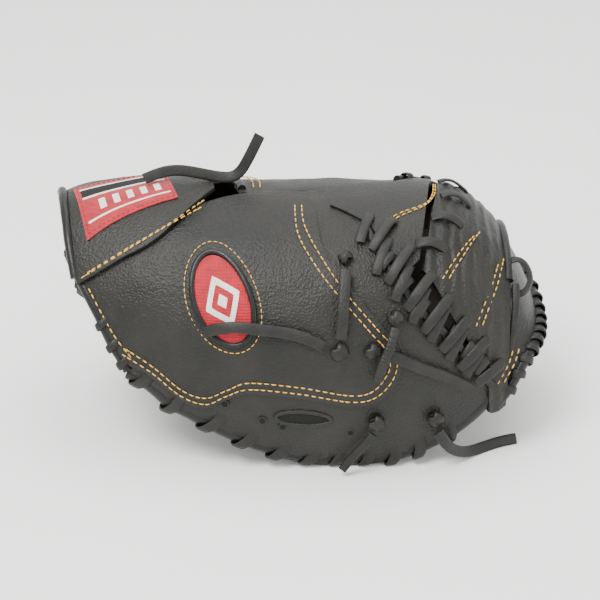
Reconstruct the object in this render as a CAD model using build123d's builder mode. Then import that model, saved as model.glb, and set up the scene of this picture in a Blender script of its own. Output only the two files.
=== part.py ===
from build123d import *
import math
import os

# Catchers mitt, lying palm down and folded about its crest, in millimetres.
# +X runs from the wrist to the fingertips, -Y is the thumb side, +Z is the back of the hand.
# The mitt stands on z = 0 with the rims of its two halves.

# Driving dimensions
mitt_length = 293.0        # wrist edge to the nose of the fingers
thumb_half_width = 88.0    # crest line to the widest place of the thumb side
finger_half_width = 93.0   # crest line to the widest place of the finger side
crest_height = 145.0       # floor to the crest of the back shell
side_height = 42.0         # floor to the widest place of both sides
foot_tuck = 10.0           # how far the foot of each side turns in under its widest place

shell_leather = 2.5        # back shell
overlay_leather = 2.0      # upper leather layer of the thumb
lining_leather = 1.5
palm_leather = 3.0
layer_gap = 0.3            # air between layers that lie on each other
hand_room = (0.5, 2.5, 11.5, 25.5, 29.5)   # foot, low side, side, shoulder, crest
felt = (1.4, 5.0, 9.0, 11.0, 12.0)         # the same five places

welting_radius = 5.0
felt_clearance = 12.0      # the felt ends this far over the middle of the welting
binding_radius = 3.0
piping_radius = 3.0
lace_width = 7.0
lace_thickness = 1.7
strap_leather = 3.0
label_thickness = 1.0
fleece_thickness = 5.0
patch_thickness = 1.7
cord_radius = 2.3

fold_pivot_rise = 3.0      # the fold's axis stands this far over the crest
fold_close_angle = 5.0     # how far the thumb side can still close
crease_angle = fold_close_angle + 1.5

# The outlines below are drawn for this size and stretched with the driving dimensions.
DRAWN_LENGTH = 293.0
DRAWN_HEIGHT = 145.0
stretch_x = mitt_length / DRAWN_LENGTH
stretch_z = crest_height / DRAWN_HEIGHT

THUMB, FINGER = -1, 1
WIDEST_X = 10.0
WRIST_RUN, TIP_RUN = 160.0, 140.0
SHOULDER_POWER = 0.9
FOOT_DEPTH = 1.05          # the layers run on a little under the floor before they are trimmed
ANGLES = (-90, -60, -30, 0, 22, 45, 62, 78, 90)
INSET_ANGLES = (-90, -45, 0, 45, 90)
STATIONS = (-150, -125, -95, -60, -20, 20, 55, 85, 108, 128, 145)
WRIST_END, NOSE = STATIONS[0], STATIONS[-1]
FAR = 200.0

# Side-view outlines, as (x, z)
wrist_edge = [(-151, 154), (-143, 134), (-131, 112), (-119, 88), (-104, 61.5)]
thumb_rim = [(-103, 58), (-84, 46.5), (-64, 34.5), (-39, 21.5), (-12, 10.5), (10, 5), (38, 5),
             (62, 9), (84, 19), (101, 31.5), (112, 44)]
thumb_crotch = [(112, 47.5), (104, 62), (90, 79), (74, 94.5), (53, 116), (39, 134), (27, 154)]
finger_rim = [(-103, 58), (-86, 47), (-66, 35), (-45, 22), (-20, 10.5), (2, 5), (30, 5), (58, 5),
              (84, 8), (108, 12.5), (127, 20), (138, 32), (142.5, 46)]
finger_crotch = [(123, 104), (106, 116), (84, 130), (60, 143), (44, 154)]
strap_seam = [(-133, 104), (-50, 147)]
fleece_corners = [(-136, -17), (-70, -14), (-70, 36), (-136, 34)]
label_corners = [(-127, -38), (-74, -19), (-86, 20), (-139, 2)]


def fall(x):
    """How far the crest has dropped at x, towards the wrist and towards the nose."""
    if x < -60:
        return 7 * ((-60 - x) / 86) ** 2
    if x > 60:
        return 38 * ((x - 60) / 68) ** 3
    return 0.0


def top(x):
    return crest_height - fall(x) * stretch_z


def half_width(x, side):
    widest = thumb_half_width if side == THUMB else finger_half_width
    if x < WIDEST_X:
        return widest * (1 - 0.40 * ((WIDEST_X - x) / WRIST_RUN) ** 2.2)
    return widest * (1 - 0.45 * ((x - WIDEST_X) / TIP_RUN) ** 2.4)


def shell_point(x, side, angle):
    """A point of the shell's outer face: angle 90 is the crest, 0 the widest place, -90 the foot."""
    width = half_width(x, side)
    if angle < 0:
        drop = -angle / 90
        return side * (width - foot_tuck * drop ** 2), side_height * (1 - FOOT_DEPTH * drop)
    across = abs(math.cos(math.radians(angle))) ** SHOULDER_POWER
    upward = math.sin(math.radians(angle)) ** SHOULDER_POWER
    return side * width * across, side_height + (top(x) - side_height) * upward


def inset_point(x, side, angle, inset):
    """The shell point moved inwards by the inset: straight in at the sides, down at the crest."""
    y, z = shell_point(x, side, angle)
    turn = math.radians(max(angle, 0))
    return y - side * inset * math.cos(turn), z - inset * math.sin(turn)


def taper(x):
    """Thick layers thin out towards the nose and a little towards the wrist."""
    if x > 80:
        return 1 - 0.75 * (x - 80) / (NOSE - 80)
    if x < -100:
        return 1 - 0.15 * (-100 - x) / (-100 - WRIST_END)
    return 1.0


def between(values, angle):
    """Reads a value from five given at INSET_ANGLES."""
    for low, high, first, second in zip(INSET_ANGLES, INSET_ANGLES[1:], values, values[1:]):
        if angle <= high:
            return first + (second - first) * (angle - low) / (high - low)
    return values[-1]


def stack(*parts):
    """Adds up layers, each a number or five numbers, into five insets."""
    total = [0.0] * len(INSET_ANGLES)
    for part in parts:
        five = part if isinstance(part, tuple) else (part,) * len(INSET_ANGLES)
        total = [a + b for a, b in zip(total, five)]
    return tuple(total)


def angle_at_height(x, z):
    if z >= side_height:
        share = min((z - side_height) / (top(x) - side_height), 1.0)
        return math.degrees(math.asin(share ** (1 / SHOULDER_POWER)))
    return -90 * min((1 - z / side_height) / FOOT_DEPTH, 1.0)


def at_height(x, side, z, inset=0.0):
    """A place on the arch by its drawn x and z, moved inwards by the inset."""
    height = z * stretch_z if z > side_height else z
    y, z_place = inset_point(x, side, angle_at_height(x, height), inset)
    return (x * stretch_x, y, z_place)


def at_side(x, y, inset=0.0):
    """A place on the upper half of the arch by its drawn x and y."""
    side = THUMB if y < 0 else FINGER
    cosine = min(abs(y) / half_width(x, side), 1.0) ** (1 / SHOULDER_POWER)
    y_place, z_place = inset_point(x, side, math.degrees(math.acos(cosine)), inset)
    return (x * stretch_x, y_place, z_place)


def drawn(points, rise=0.0, shift=0.0):
    """Side-view points at the real size. Heights over the widest place stretch with the crest."""
    return [((x + shift) * stretch_x, (z * stretch_z if z > side_height else z) + rise)
            for x, z in points]


def layer(sides, outer, inner, first=WRIST_END, last=NOSE, lowest=-90):
    """Lofts one layer of the arch, between two sets of five insets, over one or both sides, and
    keeps it from the first drawn x to the last. It starts at the lowest angle."""
    sections = []
    for x in STATIONS:
        thin = taper(x)
        faces = []
        for insets in (outer, inner):
            line = []
            for side in sides:
                half = []
                for angle in [a for a in ANGLES if a >= lowest]:
                    inset = insets[0] + (between(insets, angle) - insets[0]) * thin
                    half.append(inset_point(x, side, angle, inset))
                line += half if not line else half[-2::-1]
            faces.append(line)
        with BuildSketch(Plane.YZ.offset(x * stretch_x)) as section:
            with BuildLine():
                over = Spline(*faces[0])
                under = Spline(*faces[1])
                Line(over @ 0, under @ 0)
                Line(over @ 1, under @ 1)
            make_face()
        sections.append(section.sketch.face())
    loft(sections)
    if first > WRIST_END or last < NOSE:
        with Locations(((first + last) / 2 * stretch_x, 0, 0)):
            Box((last - first) * stretch_x, 2 * FAR, 3 * FAR, mode=Mode.INTERSECT)


def side_view(low, high, mode, *stretches):
    """Keeps or cuts a side-view outline between two y. Each stretch is a list of points, drawn
    as a smooth curve, or as a line where it has two."""
    with BuildSketch(Plane.XZ.offset(-high)) as outline:
        with BuildLine():
            ends = [stretch[-1] for stretch in stretches]
            for number, stretch in enumerate(stretches):
                if stretch[0] != ends[number - 1]:
                    Line(ends[number - 1], stretch[0])
                if len(stretch) > 2:
                    Spline(*stretch)
                elif len(stretch) == 2:
                    Line(*stretch)
        make_face()
    extrude(outline.sketch, amount=high - low, mode=mode)


def top_view(mode, points):
    """Keeps or cuts a top-view outline over the whole height."""
    with BuildSketch(Plane.XY.offset(-FAR)) as outline:
        with BuildLine():
            Polyline(*points, close=True)
        make_face()
    extrude(outline.sketch, amount=3 * FAR, mode=mode)


def side_polygon(low, high, mode, points):
    """Keeps or cuts a straight-edged side-view outline between two y."""
    with BuildSketch(Plane.XZ.offset(-high)) as outline:
        with BuildLine():
            Polyline(*points, close=True)
        make_face()
    extrude(outline.sketch, amount=high - low, mode=mode)


def trim_side(side):
    """Trims a layer to its half of the mitt."""
    rim, crotch = (thumb_rim, thumb_crotch) if side == THUMB else (finger_rim, finger_crotch)
    tuck_in = 0.55 * welting_radius
    low, high = (-FAR, 0) if side == THUMB else (0, FAR)
    corner = [] if side == THUMB else [drawn([(NOSE + 5, 48), (NOSE + 5, 104)], tuck_in)]
    side_view(low, high, Mode.INTERSECT, drawn(wrist_edge), drawn(rim, tuck_in), *corner,
              drawn(crotch))


def clear_rim(side, rise):
    """Cuts a layer back from the rim by the rise, measured upwards."""
    rim = thumb_rim if side == THUMB else finger_rim
    low, high = (-FAR, 0) if side == THUMB else (0, FAR)
    edge = drawn(rim, rise)
    ends = [(FAR, edge[-1][1]), (FAR, -FAR), (-FAR, -FAR), (-FAR, edge[0][1])]
    side_polygon(low, high, Mode.SUBTRACT, edge + ends)


def open_crease(side):
    """Cuts the crease: a slit on the finger side, a wedge that leaves room to close on the thumb's."""
    pivot = crest_height + fold_pivot_rise
    depth = pivot + 5
    reach = depth * math.tan(math.radians(crease_angle)) if side == THUMB else layer_gap
    with BuildSketch(Plane.YZ.offset(-FAR)) as slit:
        with BuildLine():
            if side == THUMB:
                Polyline((1, pivot), (-layer_gap / 2, pivot), (-reach, pivot - depth),
                         (1, pivot - depth), close=True)
            else:
                Polyline((-1, pivot), (reach, pivot), (reach, pivot - depth), (-1, pivot - depth),
                         close=True)
        make_face()
    extrude(slit.sketch, amount=2 * FAR, mode=Mode.SUBTRACT)


def corner_radii(points):
    """Each arc is as large as its two runs allow."""
    radii = []
    for before, corner, after in zip(points, points[1:], points[2:]):
        way_in = Vector(*corner) - Vector(*before)
        way_out = Vector(*after) - Vector(*corner)
        half_turn = math.radians(way_in.get_angle(way_out)) / 2
        radii.append(0.45 * min(way_in.length, way_out.length) / math.tan(half_turn))
    return radii


def tube(points, radius):
    """Sweeps a round section along straight runs joined by tangent arcs."""
    with BuildLine() as route:
        FilletPolyline(*points, radius=corner_radii(points))
    with BuildSketch(Plane(origin=route.line @ 0, z_dir=route.line % 0)) as section:
        Circle(radius)
    sweep(section.sketch, path=route.line)


def lace_wraps(places, inner_radius, slant=18.0):
    """Flat lace rings, one round each (place, direction), slanted a little."""
    for place, direction in places:
        with BuildSketch(Plane(origin=place, z_dir=direction).rotated((slant, 0, 0))) as ring:
            Circle(inner_radius + lace_thickness)
            Circle(inner_radius, mode=Mode.SUBTRACT)
        extrude(ring.sketch, amount=lace_width / 2, both=True)


def along(route, xs):
    """Places and directions on a route of 3D points, at the given drawn x."""
    found = []
    for x in xs:
        for start, end in zip(route, route[1:]):
            low, high = sorted((start[0], end[0]))
            if low <= x * stretch_x < high:
                share = (x * stretch_x - start[0]) / (end[0] - start[0])
                place = Vector(*start) + (Vector(*end) - Vector(*start)) * share
                found.append((place, (Vector(*end) - Vector(*start)).normalized()))
                break
    return found


def clear_floor():
    """Flattens what would reach under the floor."""
    with Locations((0, 0, -FAR / 2)):
        Box(3 * FAR, 3 * FAR, FAR, mode=Mode.SUBTRACT)


def finish(built, name, colour):
    built.part.label = name
    built.part.color = Color(*colour)
    export_step(built.part, f"parts/{name}.step")


os.makedirs("parts", exist_ok=True)

BLACK = (0.16, 0.16, 0.14)
DARK = (0.10, 0.10, 0.09)
FELT = (0.75, 0.70, 0.60)
TAN = (0.45, 0.38, 0.28)
RED = (0.75, 0.10, 0.13)
SUEDE = (0.28, 0.29, 0.26)

# Insets of the layers, from the shell's outer face inwards
shell_in = stack(shell_leather)
lining_out = stack(shell_leather, hand_room)
lining_in = stack(lining_out, lining_leather)
felt_out = stack(lining_in, layer_gap)
felt_in = stack(felt_out, felt)
palm_out = stack(felt_in, layer_gap)
palm_in = stack(palm_out, palm_leather)
overlay_in = stack(-layer_gap)
overlay_out = stack(-layer_gap - overlay_leather)
rim_middle = (palm_in[0]) / 2

# --- Back shell ---------------------------------------------------------------------------------

hand_opening = [(-170, 119), (-141, 124), (-60, 143), (-38, 154), (-38, 170), (-170, 170)]
slot_x, slot_z, slot_length, slot_width = 0.0, 37.0, 34.0, 9.0

with BuildPart() as thumb_base_panel:
    layer([THUMB], stack(0), shell_in)
    trim_side(THUMB)
    open_crease(THUMB)
    side_polygon(-FAR, 0, Mode.SUBTRACT, drawn(hand_opening))
    with BuildSketch(Plane.XZ.offset(thumb_half_width / 2)):
        with Locations((slot_x, slot_z)):
            SlotOverall(slot_length, slot_width)
    extrude(amount=thumb_half_width, mode=Mode.SUBTRACT)
finish(thumb_base_panel, "thumb_base_panel", BLACK)

overlay_lower = [(-112, 68), (-90, 59), (-72, 46), (-57, 42), (-46, 48), (-31, 53), (-2, 51),
                 (27, 46), (43, 48), (54, 58), (58, 72), (54, 83), (45, 93), (27, 112), (10, 128),
                 (1, 138), (1, 154)]
with BuildPart() as thumb_back_panel:
    layer([THUMB], overlay_out, overlay_in)
    side_view(-FAR, 0, Mode.INTERSECT, drawn(wrist_edge[:4] + overlay_lower[:1], 0, 3),
              drawn(overlay_lower, 0, 3))
    open_crease(THUMB)
    side_polygon(-FAR, 0, Mode.SUBTRACT, drawn(hand_opening))
finish(thumb_back_panel, "thumb_back_panel", BLACK)

hand_opening_edge = [(-160, 50), (-135, 53), (-100, 56), (-70, 52), (-50, 38), (-40, 20), (-37, -1)]
with BuildPart() as finger_back_panel:
    layer([FINGER], stack(0), shell_in)
    trim_side(FINGER)
    open_crease(FINGER)
    top_view(Mode.SUBTRACT, [(x * stretch_x, y) for x, y in hand_opening_edge + [(-160, -1)]])
finish(finger_back_panel, "finger_back_panel", BLACK)

# --- Lining, felt and palm, one half on each side --------------------------------------------------

for side, word in ((THUMB, "thumb"), (FINGER, "finger")):
    with BuildPart() as lining:
        layer([side], lining_out, lining_in)
        trim_side(side)
        open_crease(side)
    finish(lining, f"{word}_lining", TAN)

    with BuildPart() as pad:
        layer([side], felt_out, felt_in, -58, 100)
        trim_side(side)
        clear_rim(side, felt_clearance)
        open_crease(side)
    finish(pad, f"{word}_felt_pad", FELT)

    with BuildPart() as heel_pad:
        layer([side], felt_out, felt_in, -122, -61)
        trim_side(side)
        clear_rim(side, felt_clearance)
        open_crease(side)
    finish(heel_pad, f"{word}_heel_pad", FELT)

    with BuildPart() as palm:
        layer([side], palm_out, palm_in)
        trim_side(side)
        open_crease(side)
    finish(palm, f"{word}_palm_leather", BLACK)

# --- Rims --------------------------------------------------------------------------------------------

rim_routes = {
    THUMB: [at_height(x, THUMB, z, rim_middle) for x, z in thumb_rim],
    FINGER: [at_height(x, FINGER, z, rim_middle) for x, z in finger_rim]
    + [(142.5 * stretch_x, 30, 58 * stretch_z), (141.5 * stretch_x, 8, 65 * stretch_z)],
}
wrap_places = {
    THUMB: (-94, -76, -54, -34, -14, 6, 22, 40, 55, 70, 88),
    FINGER: (-92, -72, -52, -32, -12, 8, 26, 44, 62, 80, 98, 116, 132),
}
for side, word in ((THUMB, "thumb"), (FINGER, "finger")):
    with BuildPart() as welting:
        tube(rim_routes[side], welting_radius)
    finish(welting, f"{word}_rim_welting", DARK)

    with BuildPart() as rim_lace:
        lace_wraps(along(rim_routes[side], wrap_places[side]), welting_radius - 0.4)
        clear_floor()
    finish(rim_lace, f"{word}_rim_lace", SUEDE)

    binding_route = [at_height(x, side, z, shell_leather / 2) for x, z in
                     [(-106, 65), (-113, 76), (-120, 90), (-125, 102)]]
    with BuildPart() as binding:
        tube(binding_route, binding_radius)
    finish(binding, f"{word}_wrist_binding", DARK)

with BuildPart() as heel_lace:
    heel = [at_height(x, THUMB, z, rim_middle + 2) for x, z in
            [(-103, 64), (-109, 74), (-116, 88), (-121, 100)]]
    lace_wraps(along(heel, (-105, -112, -118)), binding_radius + 1.5)
finish(heel_lace, "heel_lace", SUEDE)

# --- Crotch edges and the web ---------------------------------------------------------------------------

crotch_xz = [(111, 50), (103, 63), (90, 79), (74, 94), (60, 109), (46, 125.5), (37, 137)]
thumb_crotch_route = [at_height(x, THUMB, z, shell_leather / 2) for x, z in crotch_xz]
with BuildPart() as thumb_piping:
    tube(thumb_crotch_route, piping_radius)
finish(thumb_piping, "thumb_crotch_piping", DARK)

with BuildPart() as thumb_wraps:
    lace_wraps(along(thumb_crotch_route, (43, 52, 64, 72, 81, 91, 100)), piping_radius - 0.4)
finish(thumb_wraps, "thumb_crotch_lace", SUEDE)

finger_crotch_route = [at_height(x, FINGER, z, shell_leather / 2) for x, z in
                       [(120, 103), (106, 115), (90, 125), (72, 135), (58, 141)]]
with BuildPart() as finger_piping:
    tube(finger_crotch_route, piping_radius)
finish(finger_piping, "finger_crotch_piping", DARK)

with BuildPart() as finger_web_lace:
    lace_wraps(along(finger_crotch_route, (64, 76, 88, 100, 112)), piping_radius - 0.4)
finish(finger_web_lace, "finger_web_lace", SUEDE)

web_out, web_in = stack(-1.5), stack(1.5)
# The web's two panels lie side by side, each across the crest, with a lace gap between them.
base_thumb_edge = [(38, 160), (44, 138), (60, 122), (68, 124), (95, 160)]
base_finger_edge = [(44, 160), (52, 148), (64, 145.5), (80, 137), (92, 160)]
upper_thumb_edge = [(72, 122), (80, 114), (98, 90), (114, 68), (127, 68), (127, 160), (99, 160)]
upper_finger_edge = [(96, 160), (86, 134.5), (105, 122), (127, 108), (127, 160)]
for name, thumb_edge, finger_edge, first, last in (
        ("web_base_panel", base_thumb_edge, base_finger_edge, 30, 98),
        ("web_upper_panel", upper_thumb_edge, upper_finger_edge, 68, 124)):
    with BuildPart() as reach:
        side_polygon(-FAR, 0, Mode.ADD, drawn(thumb_edge))
        side_polygon(0, FAR, Mode.ADD, drawn(finger_edge))
    with BuildPart() as web_panel:
        layer([THUMB, FINGER], web_out, web_in, first, last)
        add(reach.part, mode=Mode.INTERSECT)
    finish(web_panel, name, BLACK)

web_rim_route = [at_side(122, y) for y in (-40, -24, -8, 8, 24, 36)]
with BuildPart() as web_top_binding:
    tube(web_rim_route, binding_radius)
finish(web_top_binding, "web_top_binding", DARK)

with BuildPart() as web_joining_lace:
    for x, y in ((92, -6), (85, -30), (75, -48), (92, 20)):
        start, end = at_side(x - 9, y, -4.5), at_side(x + 9, y, -4.5)
        middle = at_side(x, y, -6.0)
        tube([start, middle, end], cord_radius)
finish(web_joining_lace, "web_joining_lace", SUEDE)

bridge_stand = -piping_radius - lace_thickness - cord_radius
with BuildPart() as thumb_web_lace:
    for low, high in (((36, 128), (47, 139)), ((47, 115), (58, 128)), ((58, 103), (70, 116)),
                      ((68, 91), (80, 106)), ((79, 80), (91, 95)), ((90, 68), (102, 82))):
        middle = ((low[0] + high[0]) / 2 - 2, (low[1] + high[1]) / 2)
        tube([at_height(*low[:1], THUMB, low[1], bridge_stand),
              at_height(middle[0], THUMB, middle[1], bridge_stand - 1.5),
              at_height(high[0], THUMB, high[1], bridge_stand)], cord_radius)
finish(thumb_web_lace, "thumb_web_lace", SUEDE)

# The finger side's leather turns in over the nose.
hood_out = stack(shell_in, layer_gap)
hood_in = stack(hood_out, shell_leather)
hood_edges = (-34.0, 40.0)
with BuildPart() as finger_hood:
    layer([THUMB, FINGER], hood_out, hood_in, 112, NOSE, lowest=0)
    for edge, beyond in ((hood_edges[0], -FAR), (hood_edges[1], FAR)):
        top_view(Mode.SUBTRACT, [(-FAR, beyond), (FAR, beyond), (FAR, edge), (-FAR, edge)])
finish(finger_hood, "finger_hood", BLACK)

# --- Wrist strap -------------------------------------------------------------------------------------------

strap_in = stack(-3.0)
strap_out = stack(strap_in, -strap_leather)
strap_reach = 42.0
strap_free_edge = -62.0 * stretch_x
seam_run = 40.0                   # the cut carries on past both ends of the seam
seam_low, seam_high = drawn(strap_seam)


def shape_strap(margin):
    """Trims a strap layer at its seam, its wrist edge, its free edge and its end."""
    rise = seam_run * (seam_high[1] - seam_low[1]) / (seam_high[0] - seam_low[0])
    left, right = seam_low[0] - seam_run, seam_high[0] + seam_run
    below = [(left, seam_low[1] - rise + margin), (right, seam_high[1] + rise + margin),
             (right, -FAR), (left, -FAR)]
    side_polygon(-FAR, 0, Mode.SUBTRACT, below)
    wrist = drawn(wrist_edge, 0, binding_radius + layer_gap + margin)
    side_polygon(-FAR, FAR, Mode.SUBTRACT, wrist + [(-FAR, 0), (-FAR, FAR)])
    top_view(Mode.SUBTRACT, [(strap_free_edge - margin, -FAR), (FAR, -FAR), (FAR, FAR),
                             (strap_free_edge - margin, FAR)])
    top_view(Mode.SUBTRACT, [(-FAR, strap_reach - margin), (FAR, strap_reach - margin), (FAR, FAR),
                             (-FAR, FAR)])


with BuildPart() as wrist_strap:
    layer([THUMB, FINGER], strap_out, strap_in, -148, -55)
    shape_strap(0)
finish(wrist_strap, "wrist_strap", BLACK)

label_in = stack(strap_out, -layer_gap)
label_out = stack(label_in, -label_thickness)
with BuildPart() as strap_label:
    layer([THUMB, FINGER], label_out, label_in, -146, -60)
    top_view(Mode.INTERSECT, [(x * stretch_x, y) for x, y in label_corners])
finish(strap_label, "strap_label", RED)

fleece_out = stack(strap_in, layer_gap)
fleece_in = stack(fleece_out, fleece_thickness)
with BuildPart() as strap_fleece:
    layer([THUMB, FINGER], fleece_out, fleece_in, -136, -70)
    top_view(Mode.INTERSECT, [(x * stretch_x, y) for x, y in fleece_corners])
finish(strap_fleece, "strap_fleece", FELT)

# --- Hand opening and the loops inside ------------------------------------------------------------------------

opening_route = [at_side(x, y, shell_leather / 2) for x, y in
                 ((-130, 53.5), (-100, 57), (-71, 53), (-51, 39), (-40.5, 21), (-37, 4))]
with BuildPart() as opening_binding:
    tube(opening_route, binding_radius - 0.5)
finish(opening_binding, "hand_opening_binding", SUEDE)

loop_width, loop_height, loop_leather = 22.0, 15.0, 2.0
for side, word, x, angle in ((THUMB, "thumb", 5, 50), (FINGER, "little_finger", -25, 50)):
    middle_inset = (between(lining_out, angle) + shell_leather) / 2
    y, z = inset_point(x, side, angle, middle_inset)
    tangent = -side * 42
    with BuildPart() as loop:
        with BuildSketch(Plane(origin=(x * stretch_x, y, z), z_dir=(1, 0, 0), x_dir=(
                0, math.cos(math.radians(tangent)), math.sin(math.radians(tangent))))):
            RectangleRounded(loop_width, loop_height, loop_height / 2 - 0.5)
            RectangleRounded(loop_width - 2 * loop_leather, loop_height - 2 * loop_leather,
                             loop_height / 2 - loop_leather - 0.5, mode=Mode.SUBTRACT)
        extrude(amount=lace_width, both=True)
    finish(loop, f"{word}_loop", TAN)

divider_out = stack(shell_in, layer_gap)
divider_in = stack(lining_out, -layer_gap)
with BuildPart() as slabs:
    for angle in (14, 30, 46):
        y, z = inset_point(60, FINGER, angle, between(lining_out, angle) / 2)
        with BuildSketch(Plane.YZ) as slab:
            with Locations(Location((y, z), angle)):
                Rectangle(60, lining_leather)
        extrude(slab.sketch, amount=FAR)
with BuildPart() as dividers:
    layer([FINGER], divider_out, divider_in, 8, 100, lowest=0)
    add(slabs.part, mode=Mode.INTERSECT)
    trim_side(FINGER)
finish(dividers, "finger_stall_dividers", TAN)

# --- Patch, knots and lace tails ---------------------------------------------------------------------------------

patch_place, patch_size, patch_turn = (-46.5, 104.0), (22.5, 14.5), -62.0
ring_width = 3.0
patch_in = stack(overlay_out, -layer_gap)
patch_out = stack(patch_in, -patch_thickness)
ring_out = stack(patch_out, -0.8)


def oval(grow, mode):
    with BuildSketch(Plane.XZ) as outline:
        with Locations(drawn([patch_place])[0]):
            Ellipse(patch_size[0] + grow, patch_size[1] + grow, rotation=patch_turn)
    extrude(outline.sketch, amount=FAR, mode=mode)


with BuildPart() as oval_patch:
    layer([THUMB], patch_out, patch_in, -75, -15)
    oval(0, Mode.INTERSECT)
finish(oval_patch, "oval_patch", RED)

with BuildPart() as oval_ring:
    layer([THUMB], ring_out, patch_in, -80, -10)
    oval(layer_gap + ring_width, Mode.INTERSECT)
    oval(layer_gap, Mode.SUBTRACT)
finish(oval_ring, "oval_patch_ring", DARK)

knot_places = ((21, 79, 8.0), (40, 79, 7.0), (24.5, 125, 6.0), (53.5, 96, 7.0), (43, 35, 7.0),
               (78, 35, 7.0))
with BuildPart() as knots:
    for x, z, size in knot_places:
        place = Vector(*at_height(x, THUMB, z, -size * 0.45 - 2.6))
        outward = place - Vector(*at_height(x, THUMB, z, 0))
        with BuildSketch(Plane(origin=place, z_dir=outward)) as knot:
            RectangleRounded(2 * size, 1.5 * size, 0.6 * size)
        extrude(knot.sketch, amount=size * 0.4, both=True)
finish(knots, "thumb_lace_knots", SUEDE)


def lace_tail(name, body, points, colour=SUEDE):
    """A loose lace: a tube along hand-chosen points. Prints its corner radii and its length."""
    with BuildPart() as tail:
        tube(points, cord_radius)
    length = tail.part.volume / (math.pi * cord_radius ** 2)
    print(name, body, "length", round(length, 1), "radii", [round(r, 1) for r in corner_radii(points)])
    finish(tail, name, colour)


def on_thumb(points):
    """Lace points as (x, z, stand-off) on the thumb side, in millimetres."""
    return [at_height(x, THUMB, z, -stand) for x, z, stand in points]


lace_tail("patch_lace", "thumb_side", on_thumb([
    (-57, 88, 6), (-48, 90.5, 9.8), (-37, 91.5, 10), (-25, 90.5, 8.5), (-11, 89.5, 6),
    (3, 86.5, 5.8), (12, 82, 6)]))
lace_tail("hanging_lace", "thumb_side", on_thumb([
    (21.5, 86, 6.5), (22.8, 94, 7), (23.2, 103.5, 7), (24.2, 112.5, 6.5), (24.4, 119, 6)]))
lace_tail("corrugated_tail", "thumb_side", on_thumb([
    (53, 91, 8), (51, 84, 10.8), (47.5, 76, 11.2), (44.5, 69, 9), (43, 62.5, 6.5)]))
lace_tail("wide_lace", "thumb_side", on_thumb([
    (47.5, 78, 5.4), (58, 73.5, 5.5), (71, 67, 5), (85, 61, 4.6), (99, 51.5, 4.6)]))
lace_tail("bottom_tail", "thumb_side", on_thumb([
    (41, 29, 6), (37.5, 23, 6.5), (32.5, 17.5, 7), (27.5, 11, 8.5), (23, 4.5, 11)]))
lace_tail("rim_tail", "thumb_side", [
    (79.5, -88, 28), (84, -86, 19), (91, -79, 10), (100, -69, 4), (111, -60, 3), (121, -54, 3.2),
    (130, -50.5, 3)])
lace_tail("strap_tail", "wrist_strap", [
    (-95, -6, 155.5), (-86, -1, 158), (-75, 3, 158), (-63, 4, 155.5), (-52, 4, 153), (-43, 4, 152.5),
    (-37.5, 4, 156.5), (-33.5, 4.5, 163.5), (-29.5, 5, 171.5), (-26, 5.5, 179)])
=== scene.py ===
"""Catchers mitt, lying palm down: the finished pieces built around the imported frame.

Lengths inside the classes are millimetres. A place on the mitt is named by its x, from wrist to
fingertips, and by its turn round the arch in degrees: 0 is the widest place of the thumb side, 90
the crest, 180 the widest place of the finger side. Metres are made where a mesh is written.
"""
import logging
import math
from dataclasses import dataclass, field
from enum import Enum

import bpy
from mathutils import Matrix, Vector, noise


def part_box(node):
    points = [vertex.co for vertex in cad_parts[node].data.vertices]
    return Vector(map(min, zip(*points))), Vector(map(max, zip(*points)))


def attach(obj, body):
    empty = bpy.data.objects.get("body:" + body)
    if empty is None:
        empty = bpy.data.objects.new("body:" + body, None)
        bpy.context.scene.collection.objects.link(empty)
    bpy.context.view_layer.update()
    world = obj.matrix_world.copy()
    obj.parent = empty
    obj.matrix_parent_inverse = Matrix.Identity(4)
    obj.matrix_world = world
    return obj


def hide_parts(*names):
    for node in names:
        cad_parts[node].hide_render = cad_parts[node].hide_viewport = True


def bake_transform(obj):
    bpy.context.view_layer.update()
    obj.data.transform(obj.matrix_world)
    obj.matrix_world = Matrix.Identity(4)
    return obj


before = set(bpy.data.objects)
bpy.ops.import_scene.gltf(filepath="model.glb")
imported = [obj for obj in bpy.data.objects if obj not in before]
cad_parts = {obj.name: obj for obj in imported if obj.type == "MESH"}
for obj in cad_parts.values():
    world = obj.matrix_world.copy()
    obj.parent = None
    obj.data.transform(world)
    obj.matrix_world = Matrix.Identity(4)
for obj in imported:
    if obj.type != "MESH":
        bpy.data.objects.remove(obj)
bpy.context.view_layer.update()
LOG = logging.getLogger("mitt")
MM = 0.001

Place = tuple[float, float]


class Body(str, Enum):
    """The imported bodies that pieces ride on."""

    FINGER = "finger_side"
    THUMB = "thumb_side"
    STRAP = "wrist_strap"


class Side(Enum):
    """The two halves of the mitt, with the sign of their y."""

    THUMB = -1
    FINGER = 1


# --- Finishes -------------------------------------------------------------------------------------


def linear(hex_colour: str) -> tuple[float, float, float, float]:
    """Turns an sRGB hex colour into linear values.

    Args:
        hex_colour: A colour such as "#3a3934".

    Returns:
        Red, green, blue and alpha.
    """
    parts = [int(hex_colour[i:i + 2], 16) / 255 for i in (1, 3, 5)]
    low = [c / 12.92 if c <= 0.04045 else ((c + 0.055) / 1.055) ** 2.4 for c in parts]
    return (low[0], low[1], low[2], 1.0)


def add_node(tree: bpy.types.NodeTree, kind: str, settings: dict | None = None,
             **links) -> bpy.types.Node:
    """Adds one node with its settings and links.

    Args:
        tree: The material's node tree.
        kind: The node's type name.
        settings: Attribute names to values; a key starting with "in:" sets an input socket.
        links: Input socket names (spaces as underscores) to the output sockets they take.

    Returns:
        The new node.
    """
    made = tree.nodes.new(kind)
    for key, value in (settings or {}).items():
        if key.startswith("in:"):
            made.inputs[key[3:]].default_value = value
        else:
            setattr(made, key, value)
    for key, output in links.items():
        name = key.replace("_", " ")
        tree.links.new(output, made.inputs[int(name) if name.isdigit() else name])
    return made


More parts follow.
